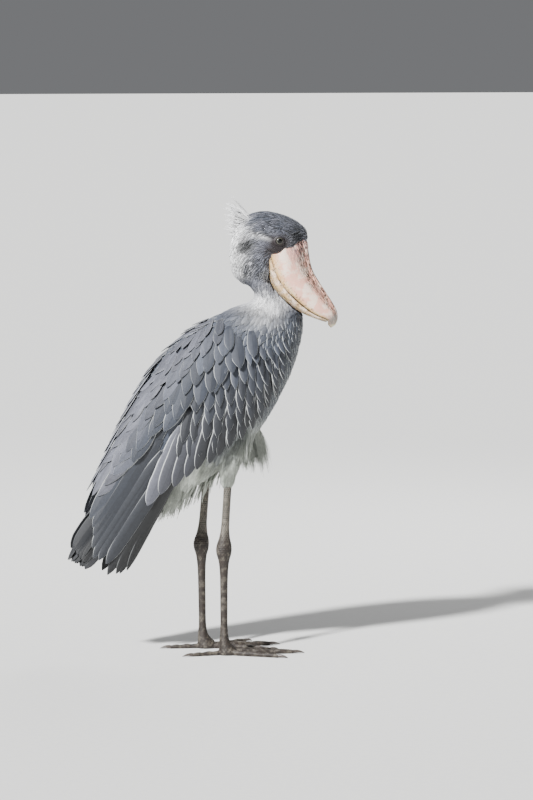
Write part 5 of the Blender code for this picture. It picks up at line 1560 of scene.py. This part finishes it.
def scuteFinish():
    # horny leg scales, grown in plates: dry and dull, with a painted highlight in the seams of the shank and dark
    # seams below it
    made, tree = startFinish("legScaleDry", 0.62, IOR=1.5)
    edge, shade, shank = partsOf(tree, noteOf(tree, "scuteAt"))
    dust = noiseOf(tree, objectOf(tree), 90.0, 6.0)
    ink = inksOf(brown="#261e18", dark="#151311", pale="#a39b8c", seam="#171412")
    level = rampOf(tree, shade, 0.0, 1.0, 0.75, 1.35)
    plate = scaledOf(tree, mixOf(tree, shank, ink["brown"], ink["dark"]), level)
    plate = mixOf(tree, rampOf(tree, dust, 0.48, 0.68, 0.0, 0.24), plate, ink["pale"])
    # painted highlight: the seams of the shank are laid pale; lower down the seams stay dark
    seam = rampOf(tree, edge, 0.06, 0.24, 1.0, 0.0, "SMOOTHSTEP")
    tint = mixOf(tree, seam, plate, mixOf(tree, shank, ink["seam"], ink["pale"]))
    return endFinish(made, tint, dust, 0.5, 0.0005)


def buildClaws():
    parts = []
    for word, side in sides.items():
        for _, heading, length, _, claw, _, base in toeRows:
            centre, ahead = toeLine(word, side, heading)
            across = Vector((-ahead.y, ahead.x, 0))
            tip = centre + ahead * (base + 0.955 * length)
            rings = []
            for t in spread(0.0, 1.0, 18):
                size = (1 - t**1.6) ** 0.75 * 0.96 + 0.04
                middle = tip + ahead * ((claw + 0.004) * t)
                middle += Vector((0, 0, 0.0012 + 0.0032 * (1 - t) + 0.0026 * math.sin(math.pi * t) * 0.75))
                ring = ringOf(16, lambda c, s: middle + across * 0.0036 * size * c + Vector((0, 0, 0.0039 * size * s)))
                rings.append([Vector((p.x, p.y, max(p.z, 0.0))) for p in ring])
            parts.append(tubeOf("claw", rings))
    return joined("claws", parts)


def grainFinish(name, roughness, bend, scale, detail, dark, pale, strength=0.0, distance=0.0):
    # one noise between two colours, raised where a strength is given
    made, tree = startFinish(name, roughness, IOR=bend)
    grain = noiseOf(tree, objectOf(tree), scale, detail)
    ink = inksOf(dark=dark, pale=pale)
    return endFinish(made, mixOf(tree, grain, ink["dark"], ink["pale"]), strength and grain, strength, distance)


legScale = scuteFinish()
legs = {word: buildLeg(word, side) for word, side in sides.items()}
for leg in legs.values():
    leg.data.materials.clear()
    leg.data.materials.append(legScale)
claws = buildClaws()
# claw horn, worn at its point: dark and half glossy with faint lines
claws.data.materials.append(grainFinish("clawHornWorn", 0.38, 1.54, 420.0, 4.0, "#2b2725", "#5a514a", 0.4, 0.0003))
claws.data.shade_smooth()
print("legs shaped,", len(legs["right"].data.polygons), "faces a leg")


# Which piece stands for which solid
def standIn(piece, slot, *nodes):
    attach(piece, "root")
    if nodes:
        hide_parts(*nodes)


standIn(skin, "slate_feather", "torso", "neck", "head", "thigh_right", "thigh_left")
for name, coat in coats.items():
    standIn(coat, "pale_plume" if name in ("bellyPlumes", "thighPlumes") else "slate_feather")
for word, parts in wings.items():
    for part in parts:
        standIn(part, "slate_feather", f"wing_{word}")
    standIn(eyes[word], "eye", f"eye_{word}")
    toes = [f"toe_{toe[0]}_{word}" for toe in toeRows]
    standIn(legs[word], "leg_scale", f"shank_{word}", f"tarsus_{word}", *toes)
standIn(tailFeathers, "dark_quill", "tail")
standIn(ventPlumes, "pale_plume")
standIn(crestPlumes, "slate_feather")
standIn(billUpper, "bill_horn", "bill_upper")
standIn(billLower, "bill_horn", "bill_lower")
standIn(claws, "claw_horn", *[f"claw_{toe[0]}_{word}" for word in sides for toe in toeRows])


# Floor, light and camera
stageSizes = {"floor": 160.0, "key": 10.0, "keyWidth": 5.0, "rim": 50.0, "sky": 0.22}
half = stageSizes["floor"] / 2
corners = [(x * half, y * half, 0) for x, y in ((-1, -1), (1, -1), (1, 1), (-1, 1))]
floor = meshOf("floor", corners, [(0, 1, 2, 3)], False)
floor.data.materials.append(grainFinish("floorPaper", 0.9, 1.45, 60.0, 2.0, "#dcdcda", "#e4e4e2"))


def addLight(name, kind, place, power):
    lamp = bpy.data.lights.new(name, kind)
    lamp.energy = power
    made = linked(name, lamp)
    made.location = place
    made.rotation_euler = (Vector((0, 0, 0.6)) - Vector(place)).to_track_quat("-Z", "Y").to_euler()
    return lamp


addLight("keyLight", "SUN", (-2.6, -2.3, 3.4), stageSizes["key"]).angle = math.radians(stageSizes["keyWidth"])
addLight("rimLight", "AREA", (1.6, 2.4, 2.6), stageSizes["rim"]).size = 1.6
sky = bpy.data.worlds.new("softRoom")
sky.use_nodes = True
sky.node_tree.nodes["Background"].inputs[0].default_value = (*hexLinear("#e8eaee"), 1)
sky.node_tree.nodes["Background"].inputs[1].default_value = stageSizes["sky"]
bpy.context.scene.world = sky

cameraSizes = {"azimuth": -12.0, "elevation": 5.5, "distance": 9.0, "lens": 172.34}
aim = Vector((0.1529, -0.0261, 0.5973))
turn, rise = math.radians(cameraSizes["azimuth"]), math.radians(cameraSizes["elevation"])
back = Vector((math.sin(turn) * math.cos(rise), -math.cos(turn) * math.cos(rise), math.sin(rise)))
eyePiece = bpy.data.cameras.new("studioCamera")
eyePiece.sensor_width = 36.0
eyePiece.lens = cameraSizes["lens"]
camera = linked("studioCamera", eyePiece)
camera.location = aim + back * cameraSizes["distance"]
camera.rotation_euler = (-back).to_track_quat("-Z", "Y").to_euler()
bpy.context.scene.camera = camera

for vane in [item for shelf in vanes.values() for item in shelf.objects]:
    bpy.data.objects.remove(vane, do_unlink=True)


print("scene ready")
